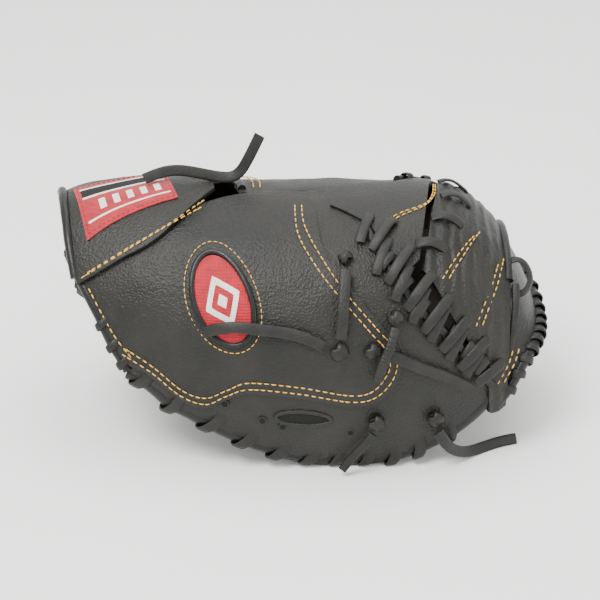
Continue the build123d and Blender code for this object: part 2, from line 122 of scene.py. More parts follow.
@dataclass(frozen=True)
class Finish:
    """A surface that varies in colour by cloudy noise and has a fine relief.

    Colours are sRGB hex. Grain sizes are real sizes in millimetres.
    """

    name: str
    dark: str
    light: str
    cloud_mm: float
    grain_mm: float
    relief_mm: float
    rough: float
    rough_spread: float = 0.1
    sheen: float = 0.0
    cells: bool = True

    def scale(self, size_mm: float) -> float:
        """The texture scale at which a feature has this size, on metre coordinates."""
        return 1.0 / (size_mm * MM)

    def colour(self, tree: bpy.types.NodeTree, place: bpy.types.NodeSocket) -> bpy.types.NodeSocket:
        """Builds the base colour.

        Args:
            tree: The material's node tree.
            place: The object coordinates.

        Returns:
            The colour output.
        """
        cloud = add_node(tree, "ShaderNodeTexNoise", {"in:Scale": self.scale(self.cloud_mm),
                         "in:Detail": 5.0, "in:Roughness": 0.6}, Vector=place)
        ramp = add_node(tree, "ShaderNodeValToRGB", Fac=cloud.outputs["Fac"])
        ramp.color_ramp.elements[0].position = 0.32
        ramp.color_ramp.elements[0].color = linear(self.dark)
        ramp.color_ramp.elements[1].position = 0.70
        ramp.color_ramp.elements[1].color = linear(self.light)
        return ramp.outputs["Color"]

    def relief(self, tree: bpy.types.NodeTree, place: bpy.types.NodeSocket) -> bpy.types.NodeSocket:
        """Builds the height of the grain.

        Args:
            tree: The material's node tree.
            place: The object coordinates.

        Returns:
            The height output.
        """
        fine = add_node(tree, "ShaderNodeTexNoise", {"in:Scale": self.scale(self.grain_mm * 0.6),
                        "in:Detail": 3.0}, Vector=place)
        if not self.cells:
            return fine.outputs["Fac"]
        cells = add_node(tree, "ShaderNodeTexVoronoi", {"feature": "SMOOTH_F1",
                         "in:Scale": self.scale(self.grain_mm), "in:Smoothness": 0.6}, Vector=place)
        both = add_node(tree, "ShaderNodeMath", {"operation": "ADD"})
        tree.links.new(cells.outputs["Distance"], both.inputs[0])
        tree.links.new(fine.outputs["Fac"], both.inputs[1])
        return both.outputs[0]

    def build(self) -> bpy.types.Material:
        """Builds the material.

        Returns:
            The new material.
        """
        made = bpy.data.materials.new(self.name)
        made.use_nodes = True
        tree = made.node_tree
        shader = tree.nodes["Principled BSDF"]
        place = add_node(tree, "ShaderNodeTexCoord").outputs["Object"]
        tree.links.new(self.colour(tree, place), shader.inputs["Base Color"])
        wear = add_node(tree, "ShaderNodeTexNoise", {"in:Scale": self.scale(self.cloud_mm * 0.5),
                        "in:Detail": 4.0}, Vector=place)
        spread = add_node(tree, "ShaderNodeMapRange", {"in:To Min": self.rough - self.rough_spread,
                          "in:To Max": self.rough + self.rough_spread}, Value=wear.outputs["Fac"])
        tree.links.new(spread.outputs["Result"], shader.inputs["Roughness"])
        bump = add_node(tree, "ShaderNodeBump", {"in:Strength": 1.0,
                        "in:Distance": self.relief_mm * MM}, Height=self.relief(tree, place))
        tree.links.new(bump.outputs["Normal"], shader.inputs["Normal"])
        shader.inputs["Specular IOR Level"].default_value = 0.32
        if self.sheen:
            shader.inputs["Sheen Weight"].default_value = self.sheen
            shader.inputs["Sheen Roughness"].default_value = 0.5
        return made


@dataclass(frozen=True)
class Woven(Finish):
    """A woven badge cloth: two crossing sets of threads carry the relief."""

    thread_mm: float = 0.8

    def relief(self, tree: bpy.types.NodeTree, place: bpy.types.NodeSocket) -> bpy.types.NodeSocket:
        """Builds crossing bands of thread.

        Args:
            tree: The material's node tree.
            place: The object coordinates.

        Returns:
            The height output.
        """
        heights = []
        for direction in ("X", "Z"):
            wave = add_node(tree, "ShaderNodeTexWave", {"wave_type": "BANDS",
                            "bands_direction": direction, "in:Distortion": 0.4,
                            "in:Scale": self.scale(self.thread_mm) * 0.16}, Vector=place)
            heights.append(wave.outputs["Fac"])
        both = add_node(tree, "ShaderNodeMath", {"operation": "ADD"})
        tree.links.new(heights[0], both.inputs[0])
        tree.links.new(heights[1], both.inputs[1])
        return both.outputs[0]


class Finishes:
    """Every finish of the mitt, built once."""

    def __init__(self) -> None:
        """Builds the materials."""
        # Full-grain steerhide: pebbled, oiled, with a soft broad gloss.
        self.shell = Finish("pebbled_steerhide", "#11110e", "#201f1a", 30, 1.5, 0.34, 0.42).build()
        # Palm steerhide: smoother and more heavily oiled.
        self.palm = Finish("oiled_palm_steerhide", "#100f0d", "#1b1a17", 30, 2.4, 0.12,
                           0.42).build()
        # Rolled welting and binding: stretched leather, nearly black, glossier.
        self.rolled = Finish("rolled_binding_leather", "#090908", "#131311", 18, 1.1, 0.08,
                             0.36).build()
        # Alum-tanned lace: smooth grain face with fine wrinkles.
        self.lace = Finish("tanned_lace", "#10100e", "#1f1e1a", 9, 1.0, 0.14, 0.45).build()
        # Cut edge and flesh side: fibrous, matt, greenish grey.
        self.suede = Finish("suede_flesh_side", "#24261f", "#3f4238", 3.0, 0.6, 0.20, 0.9, 0.05,
                            0.25, False).build()
        # Bonded polyester thread: a gold twist with a slight gloss.
        self.thread = Finish("gold_bonded_thread", "#b98a35", "#e0b558", 1.6, 0.45, 0.10,
                             0.5, cells=False).build()
        # The label's own red thread, darker than its cloth.
        self.red_thread = Finish("red_bonded_thread", "#6f0a14", "#8c101b", 1.6, 0.45, 0.10,
                                 0.55, cells=False).build()
        # Woven badge cloth: crossing threads, saturated red.
        self.red_weave = Woven("red_woven_badge", "#8c0b18", "#b01224", 6.0, 0.8, 0.16, 0.62,
                               sheen=0.2).build()
        # Cream bands and devices of the badges.
        self.cream = Woven("cream_embroidery", "#ddd8cb", "#f2eee4", 5.0, 0.7, 0.2, 0.6,
                           sheen=0.2, thread_mm=0.6).build()
        # Plain black band of the label.
        self.black_weave = Woven("black_woven_band", "#0b0b0b", "#161616", 5.0, 0.8, 0.14,
                                 0.7).build()
        # Soft glove leather against the hand.
        self.lining = Finish("soft_lining_leather", "#2a2520", "#40382f", 20, 2.0, 0.12,
                             0.7).build()
        # Pressed wool felt of the pads: matt and hairy.
        self.felt = Finish("pressed_wool_felt", "#9d9482", "#bcb3a0", 7, 0.8, 0.35, 0.95, 0.03,
                           0.4, False).build()
        # Synthetic shearling: deep tufts with a sheen.
        self.fleece = Finish("synthetic_shearling", "#8d897f", "#b5b1a6", 5, 1.6, 0.9, 0.95,
                             0.03, 0.6).build()
        # Painted shade: a near-black disc laid inside a hole or slot, where only shadow is seen.
        self.painted_hole_shade = Finish("painted_hole_shade_leather", "#0a0a09", "#141412", 8, 1.5, 0.1, 0.9,
                             0.05).build()
        # Pale paper under the mitt.
        self.floor = Finish("pale_studio_paper", "#f4f4f2", "#f7f7f5", 400, 2.0, 0.01, 0.9,
                            0.02, cells=False).build()


# --- Geometry of the arch -------------------------------------------------------------------------


@dataclass
class Arch:
    """The folded mitt's outer form, read from the frame, in millimetres."""

    side_height: float = 42.0
    foot_tuck: float = 10.0
    foot_depth: float = 1.05
    power: float = 0.9
    widest_x: float = 10.0
    wrist_run: float = 160.0
    tip_run: float = 140.0
    wrist_narrowing: float = 0.40
    tip_narrowing: float = 0.45
    level_half: float = 60.0
    wrist_fall: float = 7.0
    wrist_fall_run: float = 86.0
    nose_fall: float = 38.0
    nose_fall_run: float = 68.0
    thumb_half: float = field(default_factory=lambda: -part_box("thumb_base_panel")[0][1] / MM)
    finger_half: float = field(default_factory=lambda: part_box("finger_back_panel")[1][1] / MM)
    crest: float = field(default_factory=lambda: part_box("thumb_base_panel")[1][2] / MM)

    def top(self, x: float) -> float:
        """The crest's height at x."""
        if x < -self.level_half:
            back = (-self.level_half - x) / self.wrist_fall_run
            return self.crest - self.wrist_fall * back ** 2
        if x > self.level_half:
            ahead = (x - self.level_half) / self.nose_fall_run
            return self.crest - self.nose_fall * ahead ** 3
        return self.crest

    def half(self, x: float, side: Side) -> float:
        """Half the width at x, on one side."""
        widest = self.thumb_half if side is Side.THUMB else self.finger_half
        if x < self.widest_x:
            back = (self.widest_x - x) / self.wrist_run
            return widest * (1 - self.wrist_narrowing * back ** 2.2)
        ahead = (x - self.widest_x) / self.tip_run
        return widest * (1 - self.tip_narrowing * ahead ** 2.4)

    def point(self, x: float, turn: float, inset: float = 0.0) -> Vector:
        """A place on the mitt.

        Args:
            x: Millimetres from the middle towards the fingertips.
            turn: Degrees round the arch, from the thumb side over the crest.
            inset: How far under the shell's outer face, in millimetres.

        Returns:
            The point, in millimetres.
        """
        side = Side.THUMB if turn <= 90 else Side.FINGER
        angle = turn if turn <= 90 else 180 - turn
        width = self.half(x, side)
        lean = math.radians(max(angle, 0))
        if angle < 0:
            drop = -angle / 90
            across = width - self.foot_tuck * drop ** 2
            height = self.side_height * (1 - self.foot_depth * drop)
        else:
            across = width * abs(math.cos(lean)) ** self.power
            rise = self.top(x) - self.side_height
            height = self.side_height + rise * math.sin(lean) ** self.power
        return Vector((x, side.value * (across - inset * math.cos(lean)),
                       height - inset * math.sin(lean)))

    def outward(self, x: float, turn: float) -> Vector:
        """The direction straight out of the mitt, the same for every x at a turn."""
        side = -1 if turn <= 90 else 1
        lean = math.radians(max(turn if turn <= 90 else 180 - turn, 0))
        return Vector((0, side * math.cos(lean), math.sin(lean)))

    def turn_at(self, x: float, z: float, side: Side = Side.THUMB) -> float:
        """The turn round the arch at which x has the height z."""
        if z >= self.side_height:
            share = min((z - self.side_height) / (self.top(x) - self.side_height), 1.0)
            angle = math.degrees(math.asin(share ** (1 / self.power)))
        else:
            angle = -90 * min((1 - z / self.side_height) / self.foot_depth, 1.0)
        return angle if side is Side.THUMB else 180 - angle

    def taper(self, x: float) -> float:
        """How much of the layers' thickness is left at x."""
        if x > 80:
            return 1 - 0.75 * min((x - 80) / 65, 1.0)
        if x < -100:
            return 1 - 0.15 * (-100 - x) / 50
        return 1.0

    def deep(self, x: float, turn: float, insets: tuple[float, ...]) -> float:
        """Reads a layer's inset, given at the foot, low side, side, shoulder and crest."""
        angle = turn if turn <= 90 else 180 - turn
        steps = (-90, -45, 0, 45, 90)
        value = insets[-1]
        for low, high, first, second in zip(steps, steps[1:], insets, insets[1:]):
            if angle <= high:
                value = first + (second - first) * (max(angle, low) - low) / (high - low)
                break
        return insets[0] + (value - insets[0]) * self.taper(x)


ARCH = Arch()

# Edges seen from the side, as (x, z), shared by the rolled leather and the lacing round it.
THUMB_RIM = [(-103, 58), (-84, 46.5), (-64, 34.5), (-39, 21.5), (-12, 10.5), (10, 5), (38, 5),
             (62, 9), (84, 19), (101, 31.5), (112, 44)]
FINGER_RIM = [(-103, 58), (-86, 47), (-66, 35), (-45, 22), (-20, 10.5), (2, 5), (30, 5), (58, 5),
              (84, 8), (108, 12.5), (127, 20), (138, 32), (142, 45)]
THUMB_CROTCH = [(111, 50), (103, 63), (90, 79), (74, 94), (60, 109), (46, 125.5), (37, 137)]
FINGER_CROTCH = [(120, 103), (106, 115), (90, 125), (72, 135), (58, 141)]


class Line:
    """A smooth line through places (x, turn), read by its share of the way along."""

    def __init__(self, places: list[Place]) -> None:
        """Keeps the places and measures the line."""
        self.places = places
        self.marks = [0.0]
        for a, b in zip(places, places[1:]):
            step = (ARCH.point(*b) - ARCH.point(*a)).length
            self.marks.append(self.marks[-1] + max(step, 0.01))

    @classmethod
    def side_view(cls, places: list[Place], side: Side = Side.THUMB) -> "Line":
        """Makes a line from side-view places (x, z)."""
        return cls([(x, ARCH.turn_at(x, z, side)) for x, z in places])

    @property
    def length(self) -> float:
        """The line's length in millimetres."""
        return self.marks[-1]

    def at(self, share: float) -> Place:
        """Reads the line.

        Args:
            share: From 0 at the start to 1 at the end.

        Returns:
            The place (x, turn) there.
        """
        goal = min(max(share, 0.0), 1.0) * self.marks[-1]
        last = len(self.places) - 1
        i = next((k for k in range(last) if goal <= self.marks[k + 1]), last - 1)
        t = (goal - self.marks[i]) / (self.marks[i + 1] - self.marks[i])
        p0, p1 = self.places[max(i - 1, 0)], self.places[i]
        p2, p3 = self.places[i + 1], self.places[min(i + 2, last)]
        # A Catmull-Rom curve through the places
        return tuple(0.5 * (2 * b + (c - a) * t + (2 * a - 5 * b + 4 * c - d) * t * t
                            + (3 * b - a - 3 * c + d) * t ** 3)
                     for a, b, c, d in zip(p0, p1, p2, p3))

    def points(self, count: int, inset: float = 0.0) -> list[Vector]:
        """Evenly spaced 3D points along the line, in millimetres."""
        return [ARCH.point(*self.at(i / (count - 1)), inset) for i in range(count)]


# --- Workbench ------------------------------------------------------------------------------------


class Bench:
    """Makes meshes with Blender's own tools and gives pieces their finish.

    Sizes are millimetres; the two powers square off a strip's oval section.
    """

    LONG_WAVE = 34.0
    SHORT_WAVE = 13.0
    SHORT_SHARE = 0.45
    EDGE_ROUND = 0.45
    FACE_POWER = 0.55
    RIM_POWER = 0.8

    @staticmethod
    def grid(name: str, columns: int, rows: int) -> bpy.types.Object:
        """Adds a primitive grid to be shaped.

        Args:
            name: The new object's name.
            columns: Faces along x.
            rows: Faces along y.

        Returns:
            The grid, one metre square about the origin.
        """
        bpy.ops.object.select_all(action="DESELECT")
        bpy.ops.mesh.primitive_grid_add(x_subdivisions=columns, y_subdivisions=rows, size=1.0)
        made = bpy.context.object
        made.name = name
        made.data.name = name
        return made

    @staticmethod
    def pick(obj: bpy.types.Object) -> None:
        """Selects one object alone and makes it active."""
        bpy.ops.object.select_all(action="DESELECT")
        obj.select_set(True)
        bpy.context.view_layer.objects.active = obj

    @classmethod
    def edit(cls, obj: bpy.types.Object, *steps) -> None:
        """Runs mesh operators on the whole object.

        Args:
            obj: The object to edit.
            steps: Functions without arguments, called in edit mode with everything selected.
        """
        cls.pick(obj)
        bpy.ops.object.mode_set(mode="EDIT")
        bpy.ops.mesh.select_all(action="SELECT")
        for step in steps:
            step()
        bpy.ops.object.mode_set(mode="OBJECT")

    @classmethod
    def apply(cls, obj: bpy.types.Object, kind: str, **settings) -> None:
        """Adds one modifier, sets it and applies it.

        Args:
            obj: The object.
            kind: The modifier's type.
            settings: Its settings.
        """
        cls.pick(obj)
        modifier = obj.modifiers.new(kind.lower(), kind)
        for key, value in settings.items():
            setattr(modifier, key, value)
        bpy.ops.object.modifier_apply(modifier=modifier.name)

    @classmethod
    def smooth(cls, obj: bpy.types.Object, angle: float = 40.0) -> None:
        """Shades smooth, with edges sharper than the angle kept."""
        cls.pick(obj)
        bpy.ops.object.shade_smooth_by_angle(angle=math.radians(angle))

    @staticmethod
    def dress(obj: bpy.types.Object, slot: str, *materials: bpy.types.Material) -> None:
        """Gives an object its materials."""
        obj.data.materials.clear()
        for material in materials:
            obj.data.materials.append(material)

    @classmethod
    def panel(cls, name: str, low: Line, high: Line, inset, thickness: float,
              cells: tuple[int, int] = (120, 50), crumple: float = 0.5,
              end_inset=None) -> bpy.types.Object:
        """Wraps a sheet of leather round the arch between two lines.

        Args:
            name: The piece's name.
            low: The line of its lower edge.
            high: The line of its upper edge.
            inset: Its outer face under the shell, a number or five insets.
            thickness: The leather's thickness.
            cells: Faces along and across.
            crumple: Height of the soft waves in the leather.
            end_inset: Added inset as a function of x and turn, or None.

        Returns:
            The panel, its edges on material slot 1.
        """
        made = cls.grid(name, *cells)
        for vertex in made.data.vertices:
            along, over = vertex.co.x + 0.5, vertex.co.y + 0.5
            a, b = low.at(along), high.at(along)
            x, turn = a[0] + (b[0] - a[0]) * over, a[1] + (b[1] - a[1]) * over
            deep = ARCH.deep(x, turn, inset) if isinstance(inset, tuple) else inset
            if end_inset:
                deep += end_inset(x, turn)
            place = ARCH.point(x, turn, deep)
            wave = (noise.noise(place / cls.LONG_WAVE)
                    + cls.SHORT_SHARE * noise.noise(place / cls.SHORT_WAVE))
            vertex.co = (place + ARCH.outward(x, turn) * wave * crumple) * MM
        middle = made.data.polygons[cells[1] // 2 * cells[0] + cells[0] // 2]
        a, b = low.at(0.5), high.at(0.5)
        x, turn = (a[0] + b[0]) / 2, (a[1] + b[1]) / 2
        if middle.normal.dot(ARCH.outward(x, turn)) < 0:
            cls.edit(made, bpy.ops.mesh.flip_normals)
        made.data.materials.clear()
        for _ in range(2):
            made.data.materials.append(None)
        cls.apply(made, "SOLIDIFY", thickness=thickness * MM, offset=-1.0, use_even_offset=False,
                  material_offset_rim=1)
        cls.apply(made, "BEVEL", width=cls.EDGE_ROUND * MM, segments=2, limit_method="ANGLE",
                  angle_limit=math.radians(50))
        cls.smooth(made)
        return made

    @classmethod
    def strip(cls, name: str, centres: list[Vector], ups: list[Vector], width: float,
              thick: float, closed: bool = False, sides: int = 10,
              wobble: float = 0.0, ridge: float = 0.0) -> bpy.types.Object:
        """Sweeps a rounded flat section along centres.

        Args:
            name: The piece's name.
            centres: Points in millimetres.
            ups: For each point, the direction of the strip's face.
            width: Across the face.
            thick: Through the face.
            closed: True for a ring.
            sides: Points round the section.
            wobble: Random-looking rise of the strip, from fixed noise.
            ridge: Height of the ridges across it, one on every third point.

        Returns:
            The closed strip.
        """
        count = len(centres)
        made = cls.grid(name, sides, count if closed else count - 1)
        for vertex in made.data.vertices:
            ring = round((vertex.co.x + 0.5) * sides) % sides
            row = round((vertex.co.y + 0.5) * (count if closed else count - 1)) % count
            before = centres[row - 1] if (closed or row) else centres[0]
            after = centres[(row + 1) % count] if (closed or row < count - 1) else centres[row]
            ahead = (after - before).normalized()
            across = ahead.cross(ups[row]).normalized()
            up = across.cross(ahead).normalized()
            spin = 2 * math.pi * ring / sides
            # A squared-off oval: flat faces with rounded edges
            flat, tall = math.cos(spin), math.sin(spin)
            flat = math.copysign(abs(flat) ** cls.FACE_POWER, flat)
            tall = math.copysign(abs(tall) ** cls.RIM_POWER, tall)
            rise = wobble * noise.noise(centres[row] / 6.0)
            bump = ridge if row % 3 == 1 else 0.0
            place = (centres[row] + across * flat * width / 2
                     + up * (tall * (thick / 2 + bump) + rise))
            vertex.co = place * MM
        cls.edit(made, lambda: bpy.ops.mesh.remove_doubles(threshold=1e-6))
        if not closed:
            cls.cap(made)
        cls.edit(made, lambda: bpy.ops.mesh.normals_make_consistent(inside=False))
        cls.smooth(made, 60)
        return made

    @classmethod
    def cap(cls, obj: bpy.types.Object) -> None:
        """Closes the open ends of a tube."""
        cls.pick(obj)
        bpy.ops.object.mode_set(mode="EDIT")
        bpy.ops.mesh.select_all(action="DESELECT")
        bpy.ops.mesh.select_non_manifold(extend=False)
        bpy.ops.mesh.edge_face_add()
        bpy.ops.object.mode_set(mode="OBJECT")

    @staticmethod
    def nurbs(points: list[Vector], count: int) -> list[Vector]:
        """Reads a smooth line from a curve with these control points.

        Args:
            points: Control points in millimetres.
            count: Steps for each control point.

        Returns:
            Points along the curve, in millimetres.
        """
        curve = bpy.data.curves.new("route", "CURVE")
        curve.dimensions = "3D"
        spline = curve.splines.new("NURBS")
        spline.points.add(len(points) - 1)
        for target, point in zip(spline.points, points):
            target.co = (*(point * MM), 1.0)
        spline.order_u = 3
        spline.use_endpoint_u = True
        spline.resolution_u = count
        holder = bpy.data.objects.new("route", curve)
        bpy.context.scene.collection.objects.link(holder)
        bpy.context.view_layer.update()
        mesh = bpy.data.meshes.new_from_object(holder)
        found = [v.co / MM for v in mesh.vertices]
        bpy.data.objects.remove(holder)
        bpy.data.curves.remove(curve)
        bpy.data.meshes.remove(mesh)
        return found

    @classmethod
    def tube(cls, name: str, points: list[Vector], radius: float, sides: int = 14,
             wobble: float = 0.15) -> bpy.types.Object:
        """Sweeps a round rope of leather along a smooth line through control points."""
        line = cls.nurbs(points, 6)
        ups = [Vector((0.1, 0.3, 1.0)).normalized()] * len(line)
        made = cls.grid(name, sides, len(line) - 1)
        for vertex in made.data.vertices:
            ring = round((vertex.co.x + 0.5) * sides) % sides
            row = round((vertex.co.y + 0.5) * (len(line) - 1))
            ahead = (line[min(row + 1, len(line) - 1)] - line[max(row - 1, 0)]).normalized()
            across = ahead.cross(ups[row]).normalized()
            up = across.cross(ahead)
            spin = 2 * math.pi * ring / sides
            size = radius + wobble * noise.noise(line[row] / 9.0)
            vertex.co = (line[row] + (across * math.cos(spin) + up * math.sin(spin)) * size) * MM
        cls.edit(made, lambda: bpy.ops.mesh.remove_doubles(threshold=1e-6))
        cls.cap(made)
        cls.edit(made, lambda: bpy.ops.mesh.normals_make_consistent(inside=False))
        cls.smooth(made, 60)
        return made

    @staticmethod
    def join(name: str, parts: list[bpy.types.Object]) -> bpy.types.Object:
        """Joins parts into one piece."""
        bpy.ops.object.select_all(action="DESELECT")
        for part in parts:
            part.select_set(True)
        bpy.context.view_layer.objects.active = parts[0]
        if len(parts) > 1:
            bpy.ops.object.join()
        made = bpy.context.view_layer.objects.active
        made.name = name
        made.data.name = name
        return made

    @classmethod
    def stitches(cls, name: str, lines: list[tuple[Line, float]], pitch: float = 4.0,
                 length: float = 3.1, thick: float = 0.85) -> bpy.types.Object:
        """Sews rows of stitches: one stitch is modelled and copied along the lines.

        Args:
            name: The piece's name.
            lines: Each row and the inset that it lies on.
            pitch: From one stitch to the next.
            length: Of one stitch.
            thick: Of the thread.

        Returns:
            All the stitches as one piece.
        """
        shape = [(-0.5, -0.7, 0.30), (-0.32, 0.15, 0.85), (0.0, 0.35, 1.0), (0.32, 0.15, 0.85),
                 (0.5, -0.7, 0.30)]
        sides = 6
        vertices, faces = [], []
        for line, inset in lines:
            count = max(int(line.length / pitch), 1)
            for i in range(count):
                here = line.at((i + 0.5) / count)
                near = line.at((i + 0.5) / count - 0.25 * pitch / line.length)
                far = line.at((i + 0.5) / count + 0.25 * pitch / line.length)
                place = ARCH.point(*here, inset)
                ahead = (ARCH.point(*far, inset) - ARCH.point(*near, inset)).normalized()
                up = ARCH.outward(*here)
                across = ahead.cross(up).normalized()
                start = len(vertices)
                for step, rise, size in shape:
                    for k in range(sides):
                        spin = 2 * math.pi * k / sides
                        ring = (across * math.cos(spin) + up * math.sin(spin)) * thick / 2 * size
                        vertices.append((place + ahead * step * length + up * rise * thick * 0.6
                                         + ring) * MM)
                for row in range(len(shape) - 1):
                    for k in range(sides):
                        a, b = start + row * sides + k, start + row * sides + (k + 1) % sides
                        faces.append((a, a + sides, b + sides, b))
                faces.append(tuple(range(start, start + sides)))
                end = start + (len(shape) - 1) * sides
                faces.append(tuple(range(end + sides - 1, end - 1, -1)))
        mesh = bpy.data.meshes.new(name)
        mesh.from_pydata([tuple(v) for v in vertices], [], faces)
        made = bpy.data.objects.new(name, mesh)
        bpy.context.scene.collection.objects.link(made)
        cls.edit(made, lambda: bpy.ops.mesh.normals_make_consistent(inside=False))
        cls.smooth(made, 60)
        return made


def settle(obj: bpy.types.Object, body: Body) -> None:
    """Lets a piece ride on a body."""
    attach(obj, body.value)
    LOG.info("%s rides on %s", obj.name, body.value)


def across_fold(obj: bpy.types.Object) -> None:
    """Bakes a piece's transform into its mesh and leaves it on no body."""
    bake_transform(obj)
    LOG.info("%s bends across the fold", obj.name)


# --- Parts of the mitt ----------------------------------------------------------------------------


@dataclass
class ThumbShell:
    """The outer leather of the thumb side: base panel, back panel overlay and seams."""

    finishes: Finishes
    BASE_THICK = 2.2
    OVERLAY_THICK = 1.9
    SEAM_RISE = 2.5
    WRIST_SEAM_RISE = 2.4

    def build(self) -> None:
        """Builds the panels and their stitching."""
        f = self.finishes
        low = Line.side_view([(-105, 62), (-84, 48), (-64, 36), (-39, 23), (-12, 12), (10, 6.5),
                              (38, 6.5), (62, 10.5), (84, 20.5), (101, 33), (110, 43)])
        high = Line.side_view([(-141, 123), (-134, 126), (-100, 134.5), (-60, 143.5), (-30, 149),
                               (0, 149), (26, 146), (38, 134), (52, 116), (73, 94.5), (89, 79),
                               (103, 62), (110.5, 49)])
        wrist = Line([(-142, ARCH.turn_at(-142, 121)), (-138, 47.5), (-129, 39.5), (-118, 28.5),
                      (-105, 14)])
        base = Bench.panel("thumb_base_shell", wrist_cut(low, wrist), high, 0.0, self.BASE_THICK,
                           (150, 70), 0.9, self.creases)
        Bench.dress(base, "leather_shell", f.shell, f.suede)
        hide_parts("thumb_base_panel")
        settle(base, Body.THUMB)
        over_low = Line.side_view([(-136, 118), (-127, 102), (-112, 77), (-104, 65), (-90, 59),
                                   (-72, 46), (-57, 42), (-46, 48), (-31, 53),
                                   (-2, 51), (27, 46), (43, 48), (54, 58)])
        over_high = Line.side_view([(-137, 121), (-130, 124), (-100, 134.5), (-60, 143.5),
                                    (-38, 144.9), (-20, 144.9), (3, 144.5), (12, 129), (27, 112.5),
                                    (45, 93), (54, 83), (58, 70)])
        back = Bench.panel("thumb_back_overlay", over_low, over_high, -self.BASE_THICK,
                           self.OVERLAY_THICK, (130, 60), 0.8, self.creases)
        Bench.dress(back, "leather_shell", f.shell, f.suede)
        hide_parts("thumb_back_panel")
        settle(back, Body.THUMB)
        edge = Line.side_view([(-106, 70), (-89, 61.5), (-72, 49), (-57, 45), (-45, 51), (-31, 56),
                               (-2, 54), (27, 49), (41.5, 51), (51, 60), (54.5, 71), (51, 82),
                               (42.5, 91), (24, 110), (10, 126), (1, 137), (-1, 143)])
        inner = Line.side_view([(-104, 73.5), (-88, 65), (-71, 52.5), (-57, 49), (-44, 55),
                                (-31, 60), (-2, 58), (27, 53), (40, 55), (47.5, 63), (50.5, 71),
                                (47, 80.5), (39.5, 88.5), (21.5, 107), (7, 122), (-3, 134.5),
                                (-5, 143)])
        wrist_seam = Line.side_view([(-126, 104), (-119, 93), (-110.5, 80), (-101, 69)])
        seam = Bench.stitches("thumb_panel_stitching", [(edge, -self.SEAM_RISE),
                                                        (inner, -self.SEAM_RISE),
                                                        (wrist_seam, -self.WRIST_SEAM_RISE)])
        Bench.dress(seam, "leather_shell", f.thread)
        settle(seam, Body.THUMB)

    @staticmethod
    def creases(x: float, turn: float) -> float:
        """Soft folds pressed into the side: two near the wrist and one nearer the fingers."""
        deep = 0.0
        for cx, cz, reach, depth in ((-88, 77, 26, 1.2), (-60, 69, 22, 1.0), (20, 66, 24, 0.9)):
            z = ARCH.point(x, turn).z
            along = (x - cx) * 0.5 + (z - cz) * 0.86
            across = (x - cx) * 0.86 - (z - cz) * 0.5
            deep += depth * math.exp(-(across / 4.0) ** 2 - (along / reach) ** 2)
        return deep


def wrist_cut(low: Line, wrist: Line) -> Line:
    """Joins the wrist edge and the lower rim into one lower line."""
    return Line(wrist.places[:-1] + low.places)


def over_top(places: list[Place]) -> Line:
    """Makes a line from places (x, y) seen from above."""
    found = []
    for x, y in places:
        side = Side.THUMB if y < 0 else Side.FINGER
        share = min(abs(y) / ARCH.half(x, side), 1.0) ** (1 / ARCH.power)
        angle = math.degrees(math.acos(share))
        found.append((x, angle if side is Side.THUMB else 180 - angle))
    return Line(found)


@dataclass
class FingerShell:
    """The outer leather of the finger side with its hood over the nose."""

    finishes: Finishes
    SEAM_RISE = 1.4

    def build(self) -> None:
        """Builds the back panel, the hood and their stitching."""
        f = self.finishes
        rim = [(-105, 62), (-86, 49), (-66, 37), (-45, 24), (-20, 12), (2, 6.5), (30, 6.5),
               (58, 6.5), (84, 9.5), (108, 14), (127, 21.5), (138, 33), (142.5, 46)]
        low = Line.side_view([(-142, 120), (-138, 117), (-129, 104), (-118, 85)] + rim, Side.FINGER)
        edge = over_top([(-141, 49), (-132, 53), (-100, 56), (-70, 52), (-50, 38), (-40, 20),
                         (-37, 0), (-10, 0.5), (30, 0.5), (45, 2)]).places
        crotch = Line.side_view([(60, 143), (84, 130), (106, 116), (123, 104), (134, 88),
                                 (141, 66)], Side.FINGER).places
        back = Bench.panel("finger_back_shell", low, Line(edge + crotch), 0.0, 2.2, (150, 60), 0.9)
        Bench.dress(back, "leather_shell", f.shell, f.suede)
        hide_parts("finger_back_panel")
        settle(back, Body.FINGER)
        rows = []
        for shift in (0.0, 4.0):
            rows.append((Line.side_view([(-92, 62 + shift), (-66, 48 + shift), (-45, 36 + shift),
                                         (-20, 25 + shift), (2, 20 + shift), (30, 19 + shift),
                                         (58, 20 + shift), (84, 24 + shift), (108, 31 + shift)],
                                        Side.FINGER), -self.SEAM_RISE))
            rows.append((over_top([(-128, 58 + shift), (-100, 61 + shift), (-70, 57 + shift),
                                   (-47, 43 + shift), (-33 + shift, 22), (-30 + shift, 4)]),
                         -self.SEAM_RISE))
        seam = Bench.stitches("finger_panel_stitching", rows)
        Bench.dress(seam, "leather_shell", f.thread)
        settle(seam, Body.FINGER)
        hood = Bench.panel("nose_hood", Line([(112, 5), (120, 4), (128, 8), (135, 20), (140, 36),
                                              (142.5, 55)]),
                           Line([(112, 138), (122, 135), (130, 131), (137, 124), (141, 113),
                                 (143, 100)]), 2.2, 2.3, (40, 60), 0.5)
        Bench.dress(hood, "leather_shell", f.shell, f.suede)
        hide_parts("finger_hood")
        across_fold(hood)


